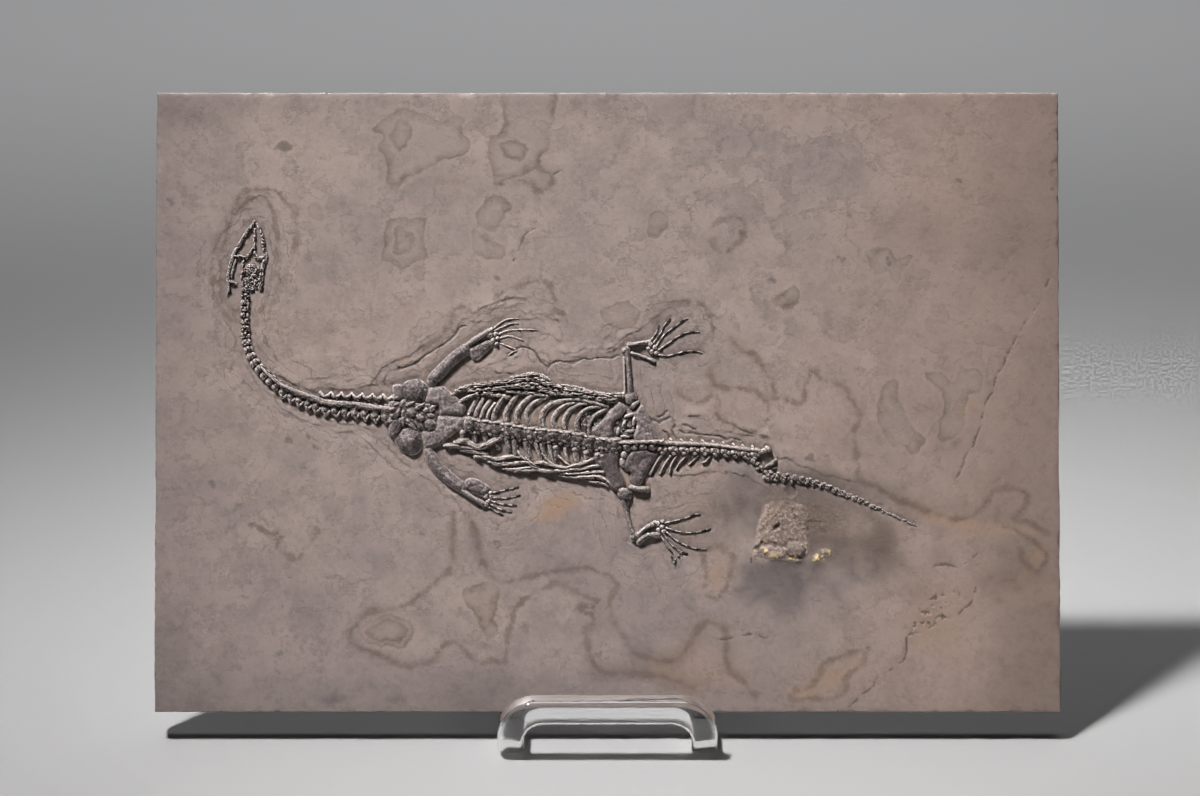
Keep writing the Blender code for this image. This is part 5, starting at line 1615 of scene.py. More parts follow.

# Tints: shade is darker or paler, warm is browner or bluer; both go to the stone's material.
# Shade holds the stone's own darker and paler patches and also painted light falloff: the
# darkening towards the sides and bottom is partly the stone's colour and partly painted
# falloff of the light.
half_x, half_y = COLUMNS / 2, ROWS / 2
out_x, out_y = (column - half_x) / half_x, (row - half_y) / half_y
shade = -0.55 * smooth_step(0.72, 1.05, np.abs(out_x) + 0.05 * broad_grain)
shade -= 0.5 * smooth_step(0.68, 1.02, out_y + 0.08 * broad_grain)
shade -= 0.25 * smooth_step(0.86, 1.02, -out_y + 0.05 * broad_grain)
warm = 0.5 * smooth_step(0.2, 1.0, out_x) - 0.3 * smooth_step(-0.2, 1.0, out_y) * (out_x < 0.1)
# Broad patches: stains, smoke and bluer or browner stone, and some wide ones at the right and
# bottom that darken the plate as painted light falloff.
for x, y, wide, long, turn, dark, tint in (
    (308, 602, 76, 56, 20, -0.5, -0.45), (300, 690, 150, 50, 0, -0.3, -0.3),
    (235.5, 512.5, 40, 26, 0, -0.3, -0.35), (293, 462, 34, 26, 0, -0.35, -0.4),
    (365, 557, 52, 34, 0, -0.4, -0.4), (540, 548, 150, 50, 0, -0.35, -0.2),
    (655, 605, 100, 100, 20, -0.3, -0.1), (800, 520, 140, 84, 10, -0.75, 0.1),
    (815, 580, 120, 54, 0, -0.55, -0.35), (690, 500, 90, 70, 0, -0.25, 0.1),
    (968, 655, 60, 80, 20, 0.3, 0.0), (560, 650, 90, 60, 0, 0.15, 0),
    (560, 250, 220, 130, 0, 0.15, -0.1), (300, 330, 150, 90, 0, 0.15, 0.1),
    (737, 137, 60, 34, 0, -0.4, -0.45), (835, 168, 120, 70, 0, -0.25, -0.35),
    (366, 230, 64, 80, 0, -0.4, -0.4), (600, 200, 120, 90, 0, -0.12, -0.3),
    (780, 115, 60, 40, 0, 0.2, 0.15), (930, 190, 120, 80, 20, 0.1, 0.15),
    (1010, 210, 70, 120, 0, -0.2, 0.0), (740, 409, 54, 34, 10, 0.55, 0.35),
    (821, 415, 17, 24, 20, -0.15, 0.6), (805, 428, 60, 40, 0, 0.2, 0.1),
    (775, 435, 22, 12, 0, -0.3, 0.1), (838, 676, 50, 34, -30, -0.1, 0.9),
    (708, 662, 52, 44, 0, 0.1, 0.6), (568, 612, 12, 40, 20, 0.1, 0.4),
    (855, 660, 20, 14, -20, 0, 0.5), (800, 693, 26, 12, 0, 0, 0.7),
    (716, 575, 22, 36, 15, 0.05, 1.1), (557, 503, 34, 18, -20, 0.05, 1.7),
    (543, 517, 26, 8, 0, 0.05, 1.3), (515, 523, 60, 8, 4, -0.1, 0.1), (963, 411, 9, 14, 0, 0, 1.0),
    (975, 402, 10, 9, 0, 0.1, 0.6), (960, 524, 60, 9, 14, 0.15, 0.8),
    (1012, 530, 60, 9, 4, 0.15, 0.8), (1038, 555, 20, 24, 0, -0.3, 0.9),
    (1030, 590, 60, 60, 0, -0.2, 0.3), (628.4, 481.6, 8, 7, 0, -0.1, 1.8),
    (655, 340, 80, 50, 0, -0.2, -0.1), (484, 606, 26, 46, -10, -0.3, 0.8),
    (452, 602, 22, 18, 0, 0, 0.7), (588, 418, 30, 26, 0, -0.3, 0.0),
    (520, 285, 60, 20, 0, 0.1, 0.1), (409.6, 316.4, 9, 17, 10, -0.35, 0.5),
    (404, 360, 14, 12, 0, -0.2, 0.4), (657, 220, 18, 30, 0, -0.35, -0.1),
    (605, 96, 18, 10, 0, -0.7, -0.4), (332, 698, 18, 10, 0, -0.8, -0.3),
    (392, 698, 12, 7, 0, -0.7, -0.3), (280, 653, 10, 8, 0, -0.6, -0.2),
    (168, 631, 14, 10, 0, -0.4, -0.2), (360, 500, 12, 22, 20, -0.25, -0.5),
    (820, 640, 120, 70, 0, -0.05, 0.0), (890, 600, 90, 60, 0, -0.05, 0.05),
    (446, 182, 40, 7, 3, -0.5, 0.5), (700, 520, 40, 60, 20, -0.2, 0.3),
    (760, 560, 30, 50, 0, 0.1, 0.0), (1000, 430, 220, 420, 0, -0.22, 0.0),
    (548, 414, 118, 30, 6, 0.9, 0.5), (560, 456, 90, 16, 8, 0.6, 0.4),
    (832, 556, 110, 64, 0, -0.75, 0.1), (822, 517, 36, 9, 20, -1.0, 0.4),
    (828, 541, 52, 10, 3, -1.1, 0.1), (790, 492, 18, 15, 0, -0.9, 0.3),
    (838, 526, 84, 46, 10, -0.55, 0.3), (778, 500, 46, 18, 0, -0.35, 0.2),
    (786, 575, 60, 24, 0, -0.5, -0.1), (741, 494, 90, 60, 0, -0.35, 0.0),
    (836, 500, 100, 56, 0, -0.4, 0.0), (1020, 556, 90, 80, 0, -0.4, 0.0),
    (1020, 650, 110, 130, 0, -0.35, 0.0), (741, 650, 190, 130, 0, -0.35, 0.0),
    (468, 690, 100, 60, 0, -0.45, 0.0), (559, 694, 160, 50, 0, -0.25, 0.0),
    (930, 432, 90, 60, 0, -0.2, 0.0), (930, 246, 240, 100, 0, -0.2, 0.0),
    (350, 560, 70, 50, 0, 0.1, 0.0), (520, 370, 90, 20, 0, 0.2, 0.0),
    (930, 220, 180, 120, 0, -0.12, 0), (860, 470, 120, 80, 20, -0.25, 0),
    (700, 466, 90, 26, 5, 0.1, 0.3), (738, 470, 30, 20, 0, -0.2, -0.5),
    (640, 665, 90, 24, 10, -0.1, 0.3), (812, 530, 110, 90, 0, -0.4, 0.1),
    (741, 500, 46, 64, 0, -0.65, 0.1), (838, 462, 100, 22, 14, 0.7, 0.0),
    (700, 498, 50, 26, 0, 0.3, 0.0), (930, 500, 300, 160, 0, -0.2, 0.05),
    (1020, 610, 120, 90, 0, -0.15, 0.0), (455, 345, 70, 50, 0, 0.35, 0.0),
    (928, 625, 90, 54, -35, -0.2, 0.45),
):
    here = glow(x, y, wide, long, turn, 0.45)
    shade += dark * here
    warm += tint * here
soft = (
    smooth_step(11, 2, band.value + 3.5 * broad_grain)
    * smooth_step(-0.5, 0.5, grain(stone_x, stone_y, 46, 218))
)
shade -= 0.38 * soft
warm += 0.35 * soft
shade += 1.4 * rind * (1 - boss)
# Grit in the rind, paler towards its left, and a painted highlight below the slit where its lower
# lip catches the light.
shade += (
    rind * (0.5 * gritty + 0.2 * smooth_step(20, -5, stone_x - 775) - 0.2)
    + 0.6 * glow(776, 533, 10, 5, 0, 0.1)
)
warm += rind * (0.12 - 0.5 * glow(797, 532, 24, 24)) * (1 - boss) - 0.4 * boss
shade += (
    0.75 * boss * (0.6 + 0.5 * gritty) - 1.1 * smooth_step(2.5, -1, smear.value + 1.5 * fine_grain)
)
shade += (
    0.9 * smooth_step(1.8, 0, np.abs(patch.value + gritty))
    * np.maximum(smooth_step(518, 506, stone_y), smooth_step(772, 764, stone_x))
)
shade += (
    ochre * (0.5 + 0.6 * gritty) - 1.0 * smooth_step(1.1, 0.8, top_pit)
    - 0.7 * glow(830, 542.6, 42, 11, 2)
)
shade += (
    0.7 * smooth_step(1.4, 0, edge.value) * smooth_step(-0.4, 0.6, fine_grain) * (stone_y > 500)
)
shade += 0.5 * glow(838, 537, 18, 3, 0) * smooth_step(0, 0.6, gritty)
stepped = (
    smooth_step(42, 32, bone_away) * smooth_step(750, 690, stone_x)
    * (1 - 0.7 * glow(690, 540, 90, 80, 0, 0))
)
ore_rind = np.maximum.reduce([
    rind, ochre, ore_patch, 0.8 * glow(786, 498, 30, 16), 0.6 * glow(825, 520, 60, 30, 10),
    boss * 0.5
])
gold = 1.6 * glow(792.6, 556.6, 9, 4.6, -25, 0.1) + 1.7 * ore_patch * smooth_step(-0.5, 0.4, gritty)
gold += 0.75 * ochre * smooth_step(-0.3, 0.5, gritty) + 0.25 * rind * smooth_step(0.2, 0.8, gritty)
pits_and_shadow = smooth_step(1.0, 0.0, crack.value + 0.6 * fine_grain) + smooth_step(0.24, 0.6, pecked)
pits_and_shadow += (
    smooth_step(3.6, 0.4, edge_away) * smooth_step(0.1, 0.8, rough(stone_x, stone_y, 7, 217, 3))
    * (row > 3)
)
# Dark grains in the rind, and a dark band of painted shadow under the nodule's ledge.
pits_and_shadow += (
    rind * 0.5 * smooth_step(0.5, 1.1, -gritty)
    + 0.8 * smooth_step(2.0, 0.4, ledge.value + 1.2 * gritty)
)
pits_and_shadow += 0.9 * smooth_step(1.2, 0, slit.value) + 0.9 * smooth_step(0.9, 0.2, lower_boss - 1.15)
# A dark line of painted shadow at the foot of each step where a layer ends.
pits_and_shadow += (
    0.85 * smooth_step(0.9, 0.2, edge.value + 0.3 * fine_grain)
    * smooth_step(-0.5, 0.6, fine_grain + broad_grain) * (1 - 0.6 * glow(400, 458, 150, 80, 30, 0))
)
pits_and_shadow += 0.9 * smooth_step(1.2, 0.2, hair.value) * broken
# Paler along the arrises: a painted highlight where they catch the light, strongest along the top
# arris, with chipped spots paler as fresh broken stone.
worn_and_highlight = smooth_step(2.6, 0.8, row) * (0.6 + 0.6 * chip) + 0.3 * smooth_step(1.5, 0.5, ROWS - row)
worn_and_highlight += 0.3 * smooth_step(1.5, 0.5, np.minimum(column, COLUMNS - column)) * chip

# The face's cells are one to eight steps wide: the finest where the stone has the most shape.
LARGEST_CELL, LARGEST_AT_BACK = 8, 16
wanted = np.full((ROWS, COLUMNS), LARGEST_CELL)
away = bone_away[:-1, :-1]
near_line = (
    (ring.value < 5.6) | (np.abs(pool.value) < 7) | (np.abs(heart.value) < 6) | (spot.value < 5)
    | (edge_away < 8)
)
on_line = (
    (ring.value < 3) | (np.abs(pool.value) < 2.5) | (np.abs(heart.value) < 2.5) | (spot.value < 1.5)
)
on_line |= (crack.value < 3) | (edge.value < 2.6) | (hair.value < 2)
wanted[near_line[:-1, :-1] | (away < 40)] = 4
wanted[on_line[:-1, :-1] | (away < 13)] = 2
wanted[(away > 0.9) & (away < 2.6)] = 1
wanted[away < 0.5] = 4
wanted[
    (crack.value[:-1, :-1] < 1.4) | (hair.value[:-1, :-1] < 1.0)
    | (edge.value[:-1, :-1] < 0.8) & (away > 1)
] = 1
wanted[
    (rind[:-1, :-1] > 0.1) | (pecked[:-1, :-1] > 0.3) | (smear.value[:-1, :-1] < 2)
    | (ore_patch[:-1, :-1] > 0.2)
] = 1
wanted[(edge_away[:-1, :-1] < 2) | (edge_away[1:, 1:] < 2)] = 2
wanted[:2] = 1


face_cells = outlined(tiled(wanted, LARGEST_CELL), COLUMNS + 1)
wanted = np.full((ROWS, COLUMNS), LARGEST_AT_BACK)
wanted[(edge_away[:-1, :-1] < 2) | (edge_away[1:, 1:] < 2)] = 2
wanted[:2] = 1
back_cells = outlined(tiled(wanted, LARGEST_AT_BACK), COLUMNS + 1)

# The sides: rows of points down from the rim of the face to the rim of the back.
loop = (
    [(0, 0), (1, 0)] + [(j, 0) for j in range(2, ROWS, 2)]
    + [(ROWS, i) for i in range(0, COLUMNS, 2)]
)
loop += (
    [(j, COLUMNS) for j in range(ROWS, 0, -2)] + [(1, COLUMNS)]
    + [(0, i) for i in range(COLUMNS, 0, -1)]
)
loop = np.array(loop)
loop_index = loop[:, 0] * (COLUMNS + 1) + loop[:, 1]
CHIPS = (
    (155, 497, 14, 2.2), (156, 700, 9, 1.8), (157, 104, 8, 1.2), (1060, 440, 12, 1.6),
    (1060, 470, 14, 1.9), (1060, 560, 10, 1.0), (1060, 640, 16, 1.3), (1059, 300, 8, 0.9),
    (300, 92, 10, 0.8), (620, 92, 12, 0.7), (905, 92, 9, 0.9), (420, 711, 12, 0.7),
)


def worn_in(x, y, depth):
    """How far the rim has chipped in from a straight edge, in grid steps."""
    inward = 0.25 + 0.7 * np.clip(rough(x + 9 * depth, y - 7 * depth, 8, 212, 3), 0, 2)
    for at_x, at_y, long, deep in CHIPS:
        inward += (
            deep * np.exp(-(((x - at_x) ** 2 + (y - at_y) ** 2) / long**2)) * math.exp(-depth / 3)
        )
    return inward


def placed(rows_, columns_, inward, depth):
    """Points of the plate: cells to metres, drawn in from the nearest border."""
    x, y = columns_ - COLUMNS / 2, rows_ - ROWS / 2
    squeeze_x = np.interp(np.minimum(columns_, COLUMNS - columns_), (0, 2, 4, 8), (0, 0.9, 0.5, 0))
    squeeze_y = np.interp(np.minimum(rows_, ROWS - rows_), (0, 2, 4, 8), (0, 0.9, 0.5, 0))
    squeeze_x = np.where(np.abs(x) == COLUMNS / 2, -inward, squeeze_x)
    squeeze_y = np.where(np.abs(y) == ROWS / 2, -inward, squeeze_y)
    x, y = x + np.sign(x) * squeeze_x, y + np.sign(y) * squeeze_y
    return np.stack([x * PLATE_WIDE / COLUMNS, -y * PLATE_TALL / ROWS, depth * MM], axis=-1)


points, faces, marks = [], [], []
names = (*REACH, "shade", "warm", "gold", "pits_and_shadow", "worn_and_highlight", "near", "rind", "stepped", "side")


def bare(shade, side):
    """The marks of stone away from the face, which has no stains, pits or bones."""
    return (*REACH.values(), shade, 0, 0, 0, 0, BONE_REACH, 0, 0, side)



used = np.unique([k for cell in face_cells for k in cell])
place_of = {int(k): n for n, k in enumerate(used)}
j, i = used // (COLUMNS + 1), used % (COLUMNS + 1)
inward = worn_in(stone_x[j, i], stone_y[j, i], 0)
points.append(placed(j, i, inward, level[j, i] - np.where(edge_away[j, i] == 0, 0.12 * inward, 0)))
faces += [tuple(place_of[k] for k in cell) for cell in face_cells]
marks.append(np.stack([
    field[j, i] for field in (
        pool.value, ring.value, heart.value, spot.value, shade, warm, gold, pits_and_shadow, worn_and_highlight,
        bone_away, ore_rind, stepped, np.zeros(stone_x.shape),
    )
], axis=1))
previous = np.array([place_of[int(k)] for k in loop_index])
offset = len(used)

for depth in (1.5, 5, 10, 11.75):
    x, y = stone_x[loop[:, 0], loop[:, 1]], stone_y[loop[:, 0], loop[:, 1]]
    inward = worn_in(x, y, depth) * 0.6 + (0.6 if depth > 11 else 0)
    points.append(placed(loop[:, 0], loop[:, 1], inward, np.full(len(loop), -depth)))
    marks.append(np.tile(bare(0, 1), (len(loop), 1)))
    current = offset + np.arange(len(loop))
    after, below = np.roll(previous, -1), np.roll(current, -1)
    faces += [tuple(quad) for quad in np.stack([after, previous, current, below], axis=1).tolist()]
    previous = current
    offset += len(loop)

used = np.unique([k for cell in back_cells for k in cell])
rim = {int(k): int(n) for k, n in zip(loop_index, previous)}
inner = [int(k) for k in used if int(k) not in rim]
place_of = {**rim, **{k: offset + n for n, k in enumerate(inner)}}
inner = np.array(inner)
j, i = inner // (COLUMNS + 1), inner % (COLUMNS + 1)
back_depth = -12 + 0.1 + 0.12 * rough(stone_x[j, i], stone_y[j, i], 70, 213, 3)
points.append(placed(j, i, 0, np.maximum(back_depth, -12)))
marks.append(np.tile(bare(-0.2, 0.35), (len(inner), 1)))
faces += [tuple(place_of[k] for k in reversed(cell)) for cell in back_cells]

mesh = bpy.data.meshes.new("shale_plate")
mesh.from_pydata(np.vstack(points).tolist(), [], faces)
mesh.shade_smooth()
mesh.set_sharp_from_angle(angle=math.radians(40))
for name, values in zip(names, np.vstack(marks).T):
    layer = mesh.attributes.new(name, "FLOAT", "POINT")
    layer.data.foreach_set("value", values.astype(np.float32))

PALE_BED, DARK_BED = (0.325, 0.255, 0.23), (0.19, 0.149, 0.138)
shale = Finish("shale")
clouds, patches = shale.noise(22, 6, 0.62), shale.noise(95, 7, 0.68)
flecks, fine = shale.noise(620, 5, 0.72), shale.noise(3200, 3, 0.7)
ragged_edge = shale.times(shale.minus(shale.noise(210, 8, 0.7), 0.5), 20.0)

shale.body = shale.ramp(
    clouds, (0.3, (0.212, 0.1656, 0.156)), (0.47, (0.248, 0.1944, 0.1808)),
    (0.53, (0.272, 0.2104, 0.1904)), (0.7, (0.296, 0.2304, 0.2064)),
)
for value, low, high, amount, colour in (
    (patches, 0.48, 0.66, 0.9, (0.19, 0.149, 0.14)),
    (patches, 0.5, 0.32, 0.75, (0.335, 0.262, 0.235)),
    (flecks, 0.5, 0.68, 0.55, (0.172, 0.134, 0.125)),
    (flecks, 0.46, 0.3, 0.4, (0.345, 0.279, 0.254)),
    (fine, 0.55, 0.75, 0.4, (0.16, 0.1264, 0.1184)),
    (fine, 0.45, 0.25, 0.35, (0.352, 0.28, 0.26)),
):
    shale.tint(value, low, high, amount, colour)

# Thin layers of the stone have flaked away in patches with wandering borders.
layers = []
for size, at, colour in (
    (48, 0.46, PALE_BED), (72, 0.55, (0.2, 0.157, 0.146)), (110, 0.5, PALE_BED),
    (170, 0.56, DARK_BED),
):
    sheet = shale.noise(size, 8, 0.62)
    border = shale.size(shale.minus(sheet, at))
    some = shale.spread(shale.noise(size * 0.6, 2, 0.5), 0.44, 0.58)
    traced = shale.times(some, shale.spread(flecks, 0.36, 0.56, 0.2, 1))
    trace = shale.times(shale.spread(border, 0.018, 0.0), traced)
    shale.coat(shale.times(shale.spread(sheet, at - 0.006, at + 0.006, 0, 0.5), some), colour)
    shale.coat(shale.times(trace, 0.65), (0.12, 0.092, 0.0824))
    layers.append(shale.times(shale.spread(sheet, at - 0.008, at + 0.008), some))

# Shade darkens or pales the stone: its own patches, with the painted light falloff carried in it.
shades, warmth = shale.mark("shade"), shale.mark("warm")
shale.tint(shades, 0, -1.2, 1, (0.108, 0.0896, 0.0896))
shale.tint(shades, 0, 1, 0.6, (0.336, 0.268, 0.24))
shale.tint(warmth, 0, 1.6, 1, (0.285, 0.18, 0.115))
shale.tint(warmth, 0, -1, 0.45, (0.16, 0.14, 0.144))

grit_size, rough_ore = shale.noise(1300, 4, 0.75), shale.mark("rind")
shale.coat(shale.times(rough_ore, 0.6), (0.19, 0.134, 0.106))
for low, high, amount, colour in (
    (0.5, 0.68, 0.85, (0.5, 0.4, 0.345)), (0.48, 0.34, 0.75, (0.055, 0.041, 0.035)),
):
    shale.coat(shale.times(rough_ore, shale.spread(grit_size, low, high, 0, amount)), colour)

pale, rim_colour = (0.315, 0.247, 0.22), (0.13, 0.092, 0.074)
for name, inner, depth in (("pool", 9, 0.85), ("heart", 7, 0.9)):
    border = shale.plus(shale.mark(name), shale.times(ragged_edge, 0.85))
    shale.tint(border, 7, 1.5, 0.25, pale)
    shale.tint(border, 1, -1.5, 0.28, (0.19, 0.157, 0.145))
    rim = shale.times(shale.spread(border, -inner, -0.8), shale.spread(border, 1.2, -0.8))
    uneven = shale.spread(shale.noise(85, 3), 0.4, 0.6, 0.25, 1)
    shale.coat(shale.times(rim, shale.times(uneven, depth)), rim_colour)
    thin = shale.spread(shale.size(shale.plus(border, 0.9)), 2.2, 0.3, 0, 0.6)
    shale.coat(shale.times(thin, shale.times(uneven, 0.8)), (0.11, 0.078, 0.064))
border = shale.plus(shale.mark("ring"), shale.times(ragged_edge, 1.0))
strength = shale.spread(shale.noise(130, 4), 0.36, 0.58, 0.25, 0.8)
shale.tint(shale.size(shale.minus(border, 5.0)), 3, 0.4, 0.2, pale)
shale.tint(border, 5.5, 1, 0.2, rim_colour)
shale.coat(shale.times(shale.spread(border, 1.9, 0.2), strength), rim_colour)
shale.tint(shale.plus(shale.mark("spot"), ragged_edge), 0.8, -1, 0.6, (0.08, 0.064, 0.06))
shale.tint(shades, -0.5, -2.2, 0.55, (0.06, 0.047, 0.042))

# Round the bones the stone is darkened as painted shade, and its beds end in fine wandering
# steps, each drawn as a dark line of painted shadow with a pale painted highlight on its lip.
near = shale.mark("near")
shale.tint(near, 14, 2, 0.2, (0.176, 0.14, 0.128))
shale.tint(near, 1.6, 0.6, 0.25, (0.072, 0.0576, 0.0512))
for apart, size, wander, amount in (
    (7, 130, 26, 0.5), (13, 90, 44, 0.62), (20, 70, 60, 0.55), (28, 60, 70, 0.4),
):
    wandering = shale.times(shale.minus(shale.noise(size, 8, 0.62), 0.5), wander)
    border = shale.minus(shale.plus(near, wandering), apart)
    some = shale.spread(shale.noise(size * 1.3, 3, 0.6), 0.42, 0.56)
    some = shale.times(some, shale.mark("stepped"))
    step_line = shale.times(shale.spread(shale.size(border), 1.3, 0.2, 0, amount), some)
    beyond = shale.size(shale.minus(border, 1.8))
    # Pale painted highlight on the lip of each step, then its dark line of painted shadow.
    shale.coat(shale.times(shale.spread(beyond, 1.5, 0.3, 0, 0.16), some), (0.4, 0.32, 0.29))
    shale.coat(step_line, (0.075, 0.056, 0.05))
    layers.append(shale.times(shale.spread(border, -0.8, 0.8), some))
specks = shale.times(shale.spread(flecks, 0.5, 0.62), shale.spread(near, 8, 1, 0, 0.6))
shale.coat(specks, (0.072, 0.06, 0.056))
# Pits, cracks and chips are darkened, and so is the painted shadow under the ledge and at the foot
# of each step.
dents_and_shadow = shale.plus(shale.mark("pits_and_shadow"), shale.times(ragged_edge, 0.12))
shale.tint(dents_and_shadow, 0.25, 1.0, 0.75, (0.06, 0.0464, 0.04))
ore = shale.times(shale.mark("gold"), shale.spread(shale.noise(900, 3), 0.4, 0.58))
shale.tint(ore, 0.15, 0.9, 0.9, (0.78, 0.58, 0.26))
# Painted highlight along the arrises, with chipped spots paler as fresh stone.
scuffed_and_highlit = shale.times(shale.mark("worn_and_highlight"), shale.spread(flecks, 0.35, 0.6, 0.3, 1.2))
shale.tint(scuffed_and_highlit, 0.15, 1.0, 1, (0.8, 0.75, 0.72))

# The sawn sides and the back show the beds edge on.
grainwise = shale.node("ShaderNodeMapping")
grainwise.inputs["Scale"].default_value = (0.05, 0.05, 1.0)
shale.feed(grainwise.inputs["Vector"], shale.where)
beds = shale.noise(1500, 4, 0.7, grainwise.outputs["Vector"])
sawn = shale.ramp(
    beds, (0.35, (0.104, 0.08, 0.0736)), (0.5, (0.168, 0.132, 0.12)), (0.66, (0.24, 0.192, 0.176))
)
shale.tint(shale.mark("side"), 0.1, 0.5, 0.9, sawn)

relief = shale.plus(shale.times(fine, 0.35), shale.times(flecks, 0.9))
relief = shale.plus(relief, shale.times(rough_ore, shale.times(grit_size, 3.0)))
for layer in layers:
    relief = shale.plus(relief, shale.times(layer, 0.35))
shale.dress(shale.spread(flecks, 0.3, 0.7, 0.5, 0.68), 0.4, relief, 0.45, 0.00022)

mesh.materials.append(shale.material)
plate = bpy.data.objects.new("shale_plate", mesh)
bpy.context.scene.collection.objects.link(plate)
plate.matrix_world = FACE
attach(plate, "root")
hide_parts("slab")


# The easel: a long flat ring of clear acrylic bar, 8 by 6 mm with polished round edges, bent hot
# at the front into a lip and at the back into a leaning rest. The plate stands on its two bars.
RING_WIDE, BAR, SHEET = 67, 8, 6
OUTER_CORNER, INNER_CORNER, EDGE_ROUND = 12, 6.4, 1.3
BEND, BEND_HIGH = SHEET / 2 + 5, SHEET + 5
LIP_TOP, LIP_FOOT, REST_TOP = (-41.47, 20.52), (-38.36, 8.93), (13.81, 80.75)
FRONT_BEND, REAR_BEND = (-30.63, 195, 75, 13), (33.36, -90, 112, 15)
side_line = [LIP_TOP, LIP_FOOT]
for middle, start, turned, steps in (FRONT_BEND, REAR_BEND):
    if middle == REAR_BEND[0]:
        side_line.append((middle, SHEET / 2))
    for k in range(1, steps):
        a = math.radians(start + turned * k / (steps - 1))
        side_line.append((middle + BEND * math.cos(a), BEND_HIGH + BEND * math.sin(a)))
side_line.append(REST_TOP)
side_line = np.array(side_line)
run = np.concatenate([[0], np.cumsum(np.hypot(*np.diff(side_line, axis=0).T))])
RING_LONG = run[-1]
heading = np.gradient(side_line, run, axis=0, edge_order=1)
heading /= np.hypot(heading[:, 0], heading[:, 1])[:, None]


def half_ring(wide, low, high, corner, count):
    """The lower right quarter of a rounded ring, from its low middle round its corner: (x, along)
    points.
    """
    made = [(x, low) for x in np.linspace(0, wide - corner, 16)]
    for k in range(1, count):
        a = math.pi / 2 * k / count
        made.append((wide - corner + corner * math.sin(a), low + corner - corner * math.cos(a)))
    return made


def ring_line(wide, low, high, corner):
    """A closed rounded outline with the same number of points whatever its size."""
    quarter = half_ring(wide, low, high, corner, 14)
    made = quarter + [(wide, s) for s in np.linspace(low + corner, high - corner, 150)]
    made += [(x, low + high - s) for x, s in reversed(quarter)]
    return np.array(made + [(-x, s) for x, s in reversed(made[1:-1])])


outer = ring_line(RING_WIDE / 2, 0, RING_LONG, OUTER_CORNER)
inner_line = ring_line(RING_WIDE / 2 - BAR, BAR, RING_LONG - BAR, INNER_CORNER)
section = []
for cx, cy, start in ((1, 1, 0), (0, 1, 90), (0, 0, 180), (1, 0, 270)):
    for k in range(6):
        a = math.radians(start + 18 * k)
        across = (1 - EDGE_ROUND / BAR if cx else EDGE_ROUND / BAR) + EDGE_ROUND / BAR * math.cos(a)
        up = (SHEET / 2 - EDGE_ROUND) * (1 if cy else -1) + EDGE_ROUND * math.sin(a)
        section.append((across, up))
points = []
for o, n in zip(outer, inner_line):
    for across, up in section:
        x, along = n + (o - n) * across
        place = [np.interp(along, run, side_line[:, k]) for k in (0, 1)]
        ahead = np.array([np.interp(along, run, heading[:, k]) for k in (0, 1)])
        ahead /= np.hypot(*ahead)
        points.append((x * MM, (place[0] - ahead[1] * up) * MM, (place[1] + ahead[0] * up) * MM))
count, turn = len(outer), len(section)
faces = []
for k in range(count):
    for n in range(turn):
        a, b = k * turn + n, k * turn + (n + 1) % turn
        c, d = (k + 1) % count * turn + (n + 1) % turn, (k + 1) % count * turn + n
        faces.append((a, b, c, d))
mesh = bpy.data.meshes.new("clear_easel")
mesh.from_pydata(points, [], faces)
mesh.shade_smooth()

clear = Finish("clear_acrylic")
haze = clear.spread(clear.noise(300, 4), 0.4, 0.75, 0.015, 0.09)
for socket, value in (
    ("Base Color", (0.97, 0.985, 0.99)), ("Transmission Weight", 1.0), ("IOR", 1.49),
    ("Roughness", haze),
):
    clear.feed(clear.shader.inputs[socket], value)
mesh.materials.append(clear.material)
easel = bpy.data.objects.new("clear_easel", mesh)
bpy.context.scene.collection.objects.link(easel)
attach(easel, "root")
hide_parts("stand")


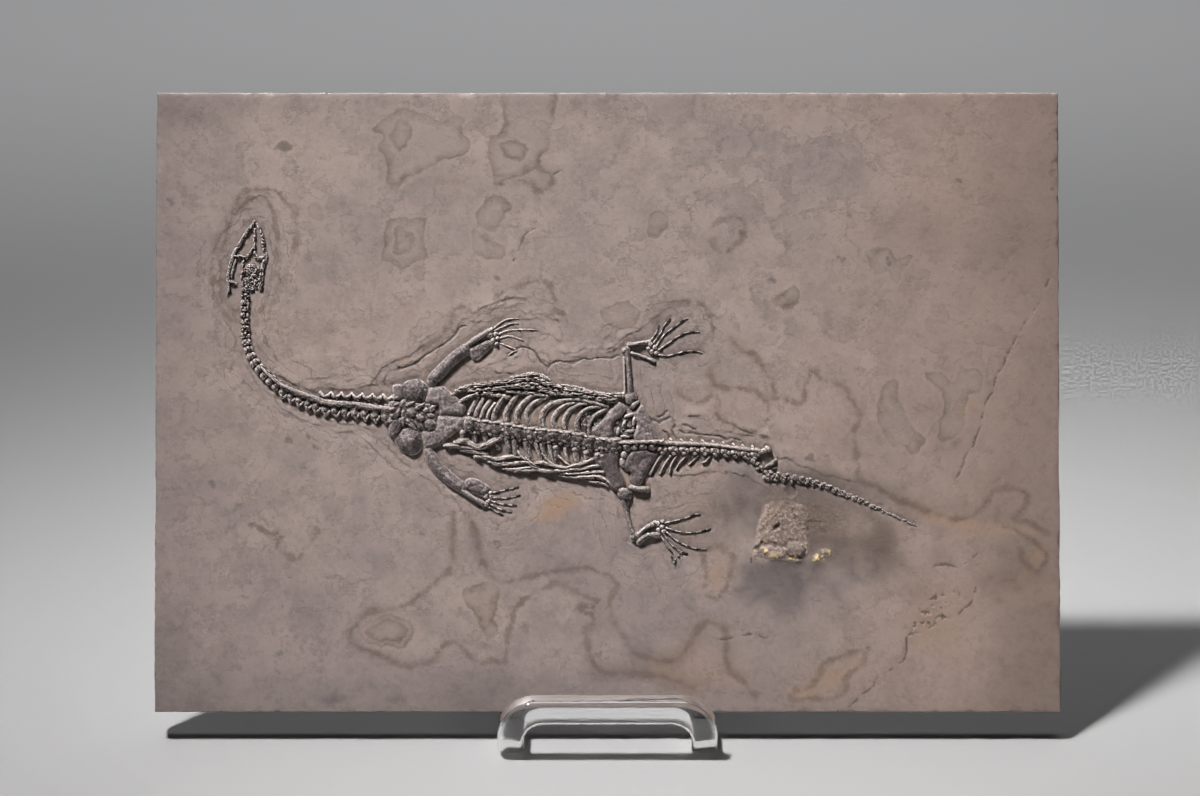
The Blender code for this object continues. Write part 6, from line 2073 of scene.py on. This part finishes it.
# The setting: a pale table top, a broad lamp high at the upper left that rakes across the plate,
# soft lights in front and above, and a camera that looks down a little at the plate's middle.
def lamp(name, place, target, size, power, beam=180, colour=(1, 1, 1)):
    light = bpy.data.lights.new(name, "AREA")
    light.spread = math.radians(beam)
    light.shape = "SQUARE"
    light.size = size
    light.energy = power
    light.color = colour
    made = bpy.data.objects.new(name, light)
    bpy.context.scene.collection.objects.link(made)
    made.location = place
    made.rotation_euler = (Vector(target) - Vector(place)).to_track_quat("-Z", "Y").to_euler()
    return made


lamp("raking_lamp", (-1.2, -1.0, 3.25), (0, 0.03, 0.11), 0.42, 2.5, 16, (1, 0.985, 0.965))
lamp("front_lamp", (0.6, -2.2, 1.0), (0, 0, 0.1), 1.2, 0.4)
lamp("top_lamp", (0.1, 0.5, 1.7), (0, 0, 0.1), 0.9, 0.8)
lamp("table_lamp", (0, 1.5, 2.2), (0, 1.7, 0), 1.5, 16, 90)

floor_mesh = bpy.data.meshes.new("table_top")
floor_mesh.from_pydata([(-4, -4, 0), (4, -4, 0), (4, 4, 0), (-4, 4, 0)], [], [(0, 1, 2, 3)])
paint = bpy.data.materials.new("pale_table")
paint.use_nodes = True
shader = paint.node_tree.nodes["Principled BSDF"]
shader.inputs["Base Color"].default_value = (0.34, 0.34, 0.346, 1)
shader.inputs["Roughness"].default_value = 0.6
floor_mesh.materials.append(paint)
table = bpy.data.objects.new("table_top", floor_mesh)
bpy.context.scene.collection.objects.link(table)
table.location = (0, 0, -0.0002)

world = bpy.data.worlds.new("studio")
bpy.context.scene.world = world
world.use_nodes = True
background = world.node_tree.nodes["Background"]
background.inputs["Color"].default_value = (0.8, 0.83, 0.88, 1)
background.inputs["Strength"].default_value = 0.028
bpy.context.scene.view_settings.view_transform = "Standard"

camera_data = bpy.data.cameras.new("camera")
camera_data.lens = 116.3
camera_data.sensor_width = 36
camera = bpy.data.objects.new("camera", camera_data)
bpy.context.scene.collection.objects.link(camera)
DISTANCE, LOOK_DOWN = 1.2, math.radians(14)
aim = FACE @ Vector((-2.3 * MM, 1.1 * MM, 0))
away = Vector((0, -math.cos(LOOK_DOWN), math.sin(LOOK_DOWN))) * DISTANCE
camera.location = aim + away
camera.rotation_euler = (-away).to_track_quat("-Z", "Y").to_euler()
bpy.context.scene.camera = camera
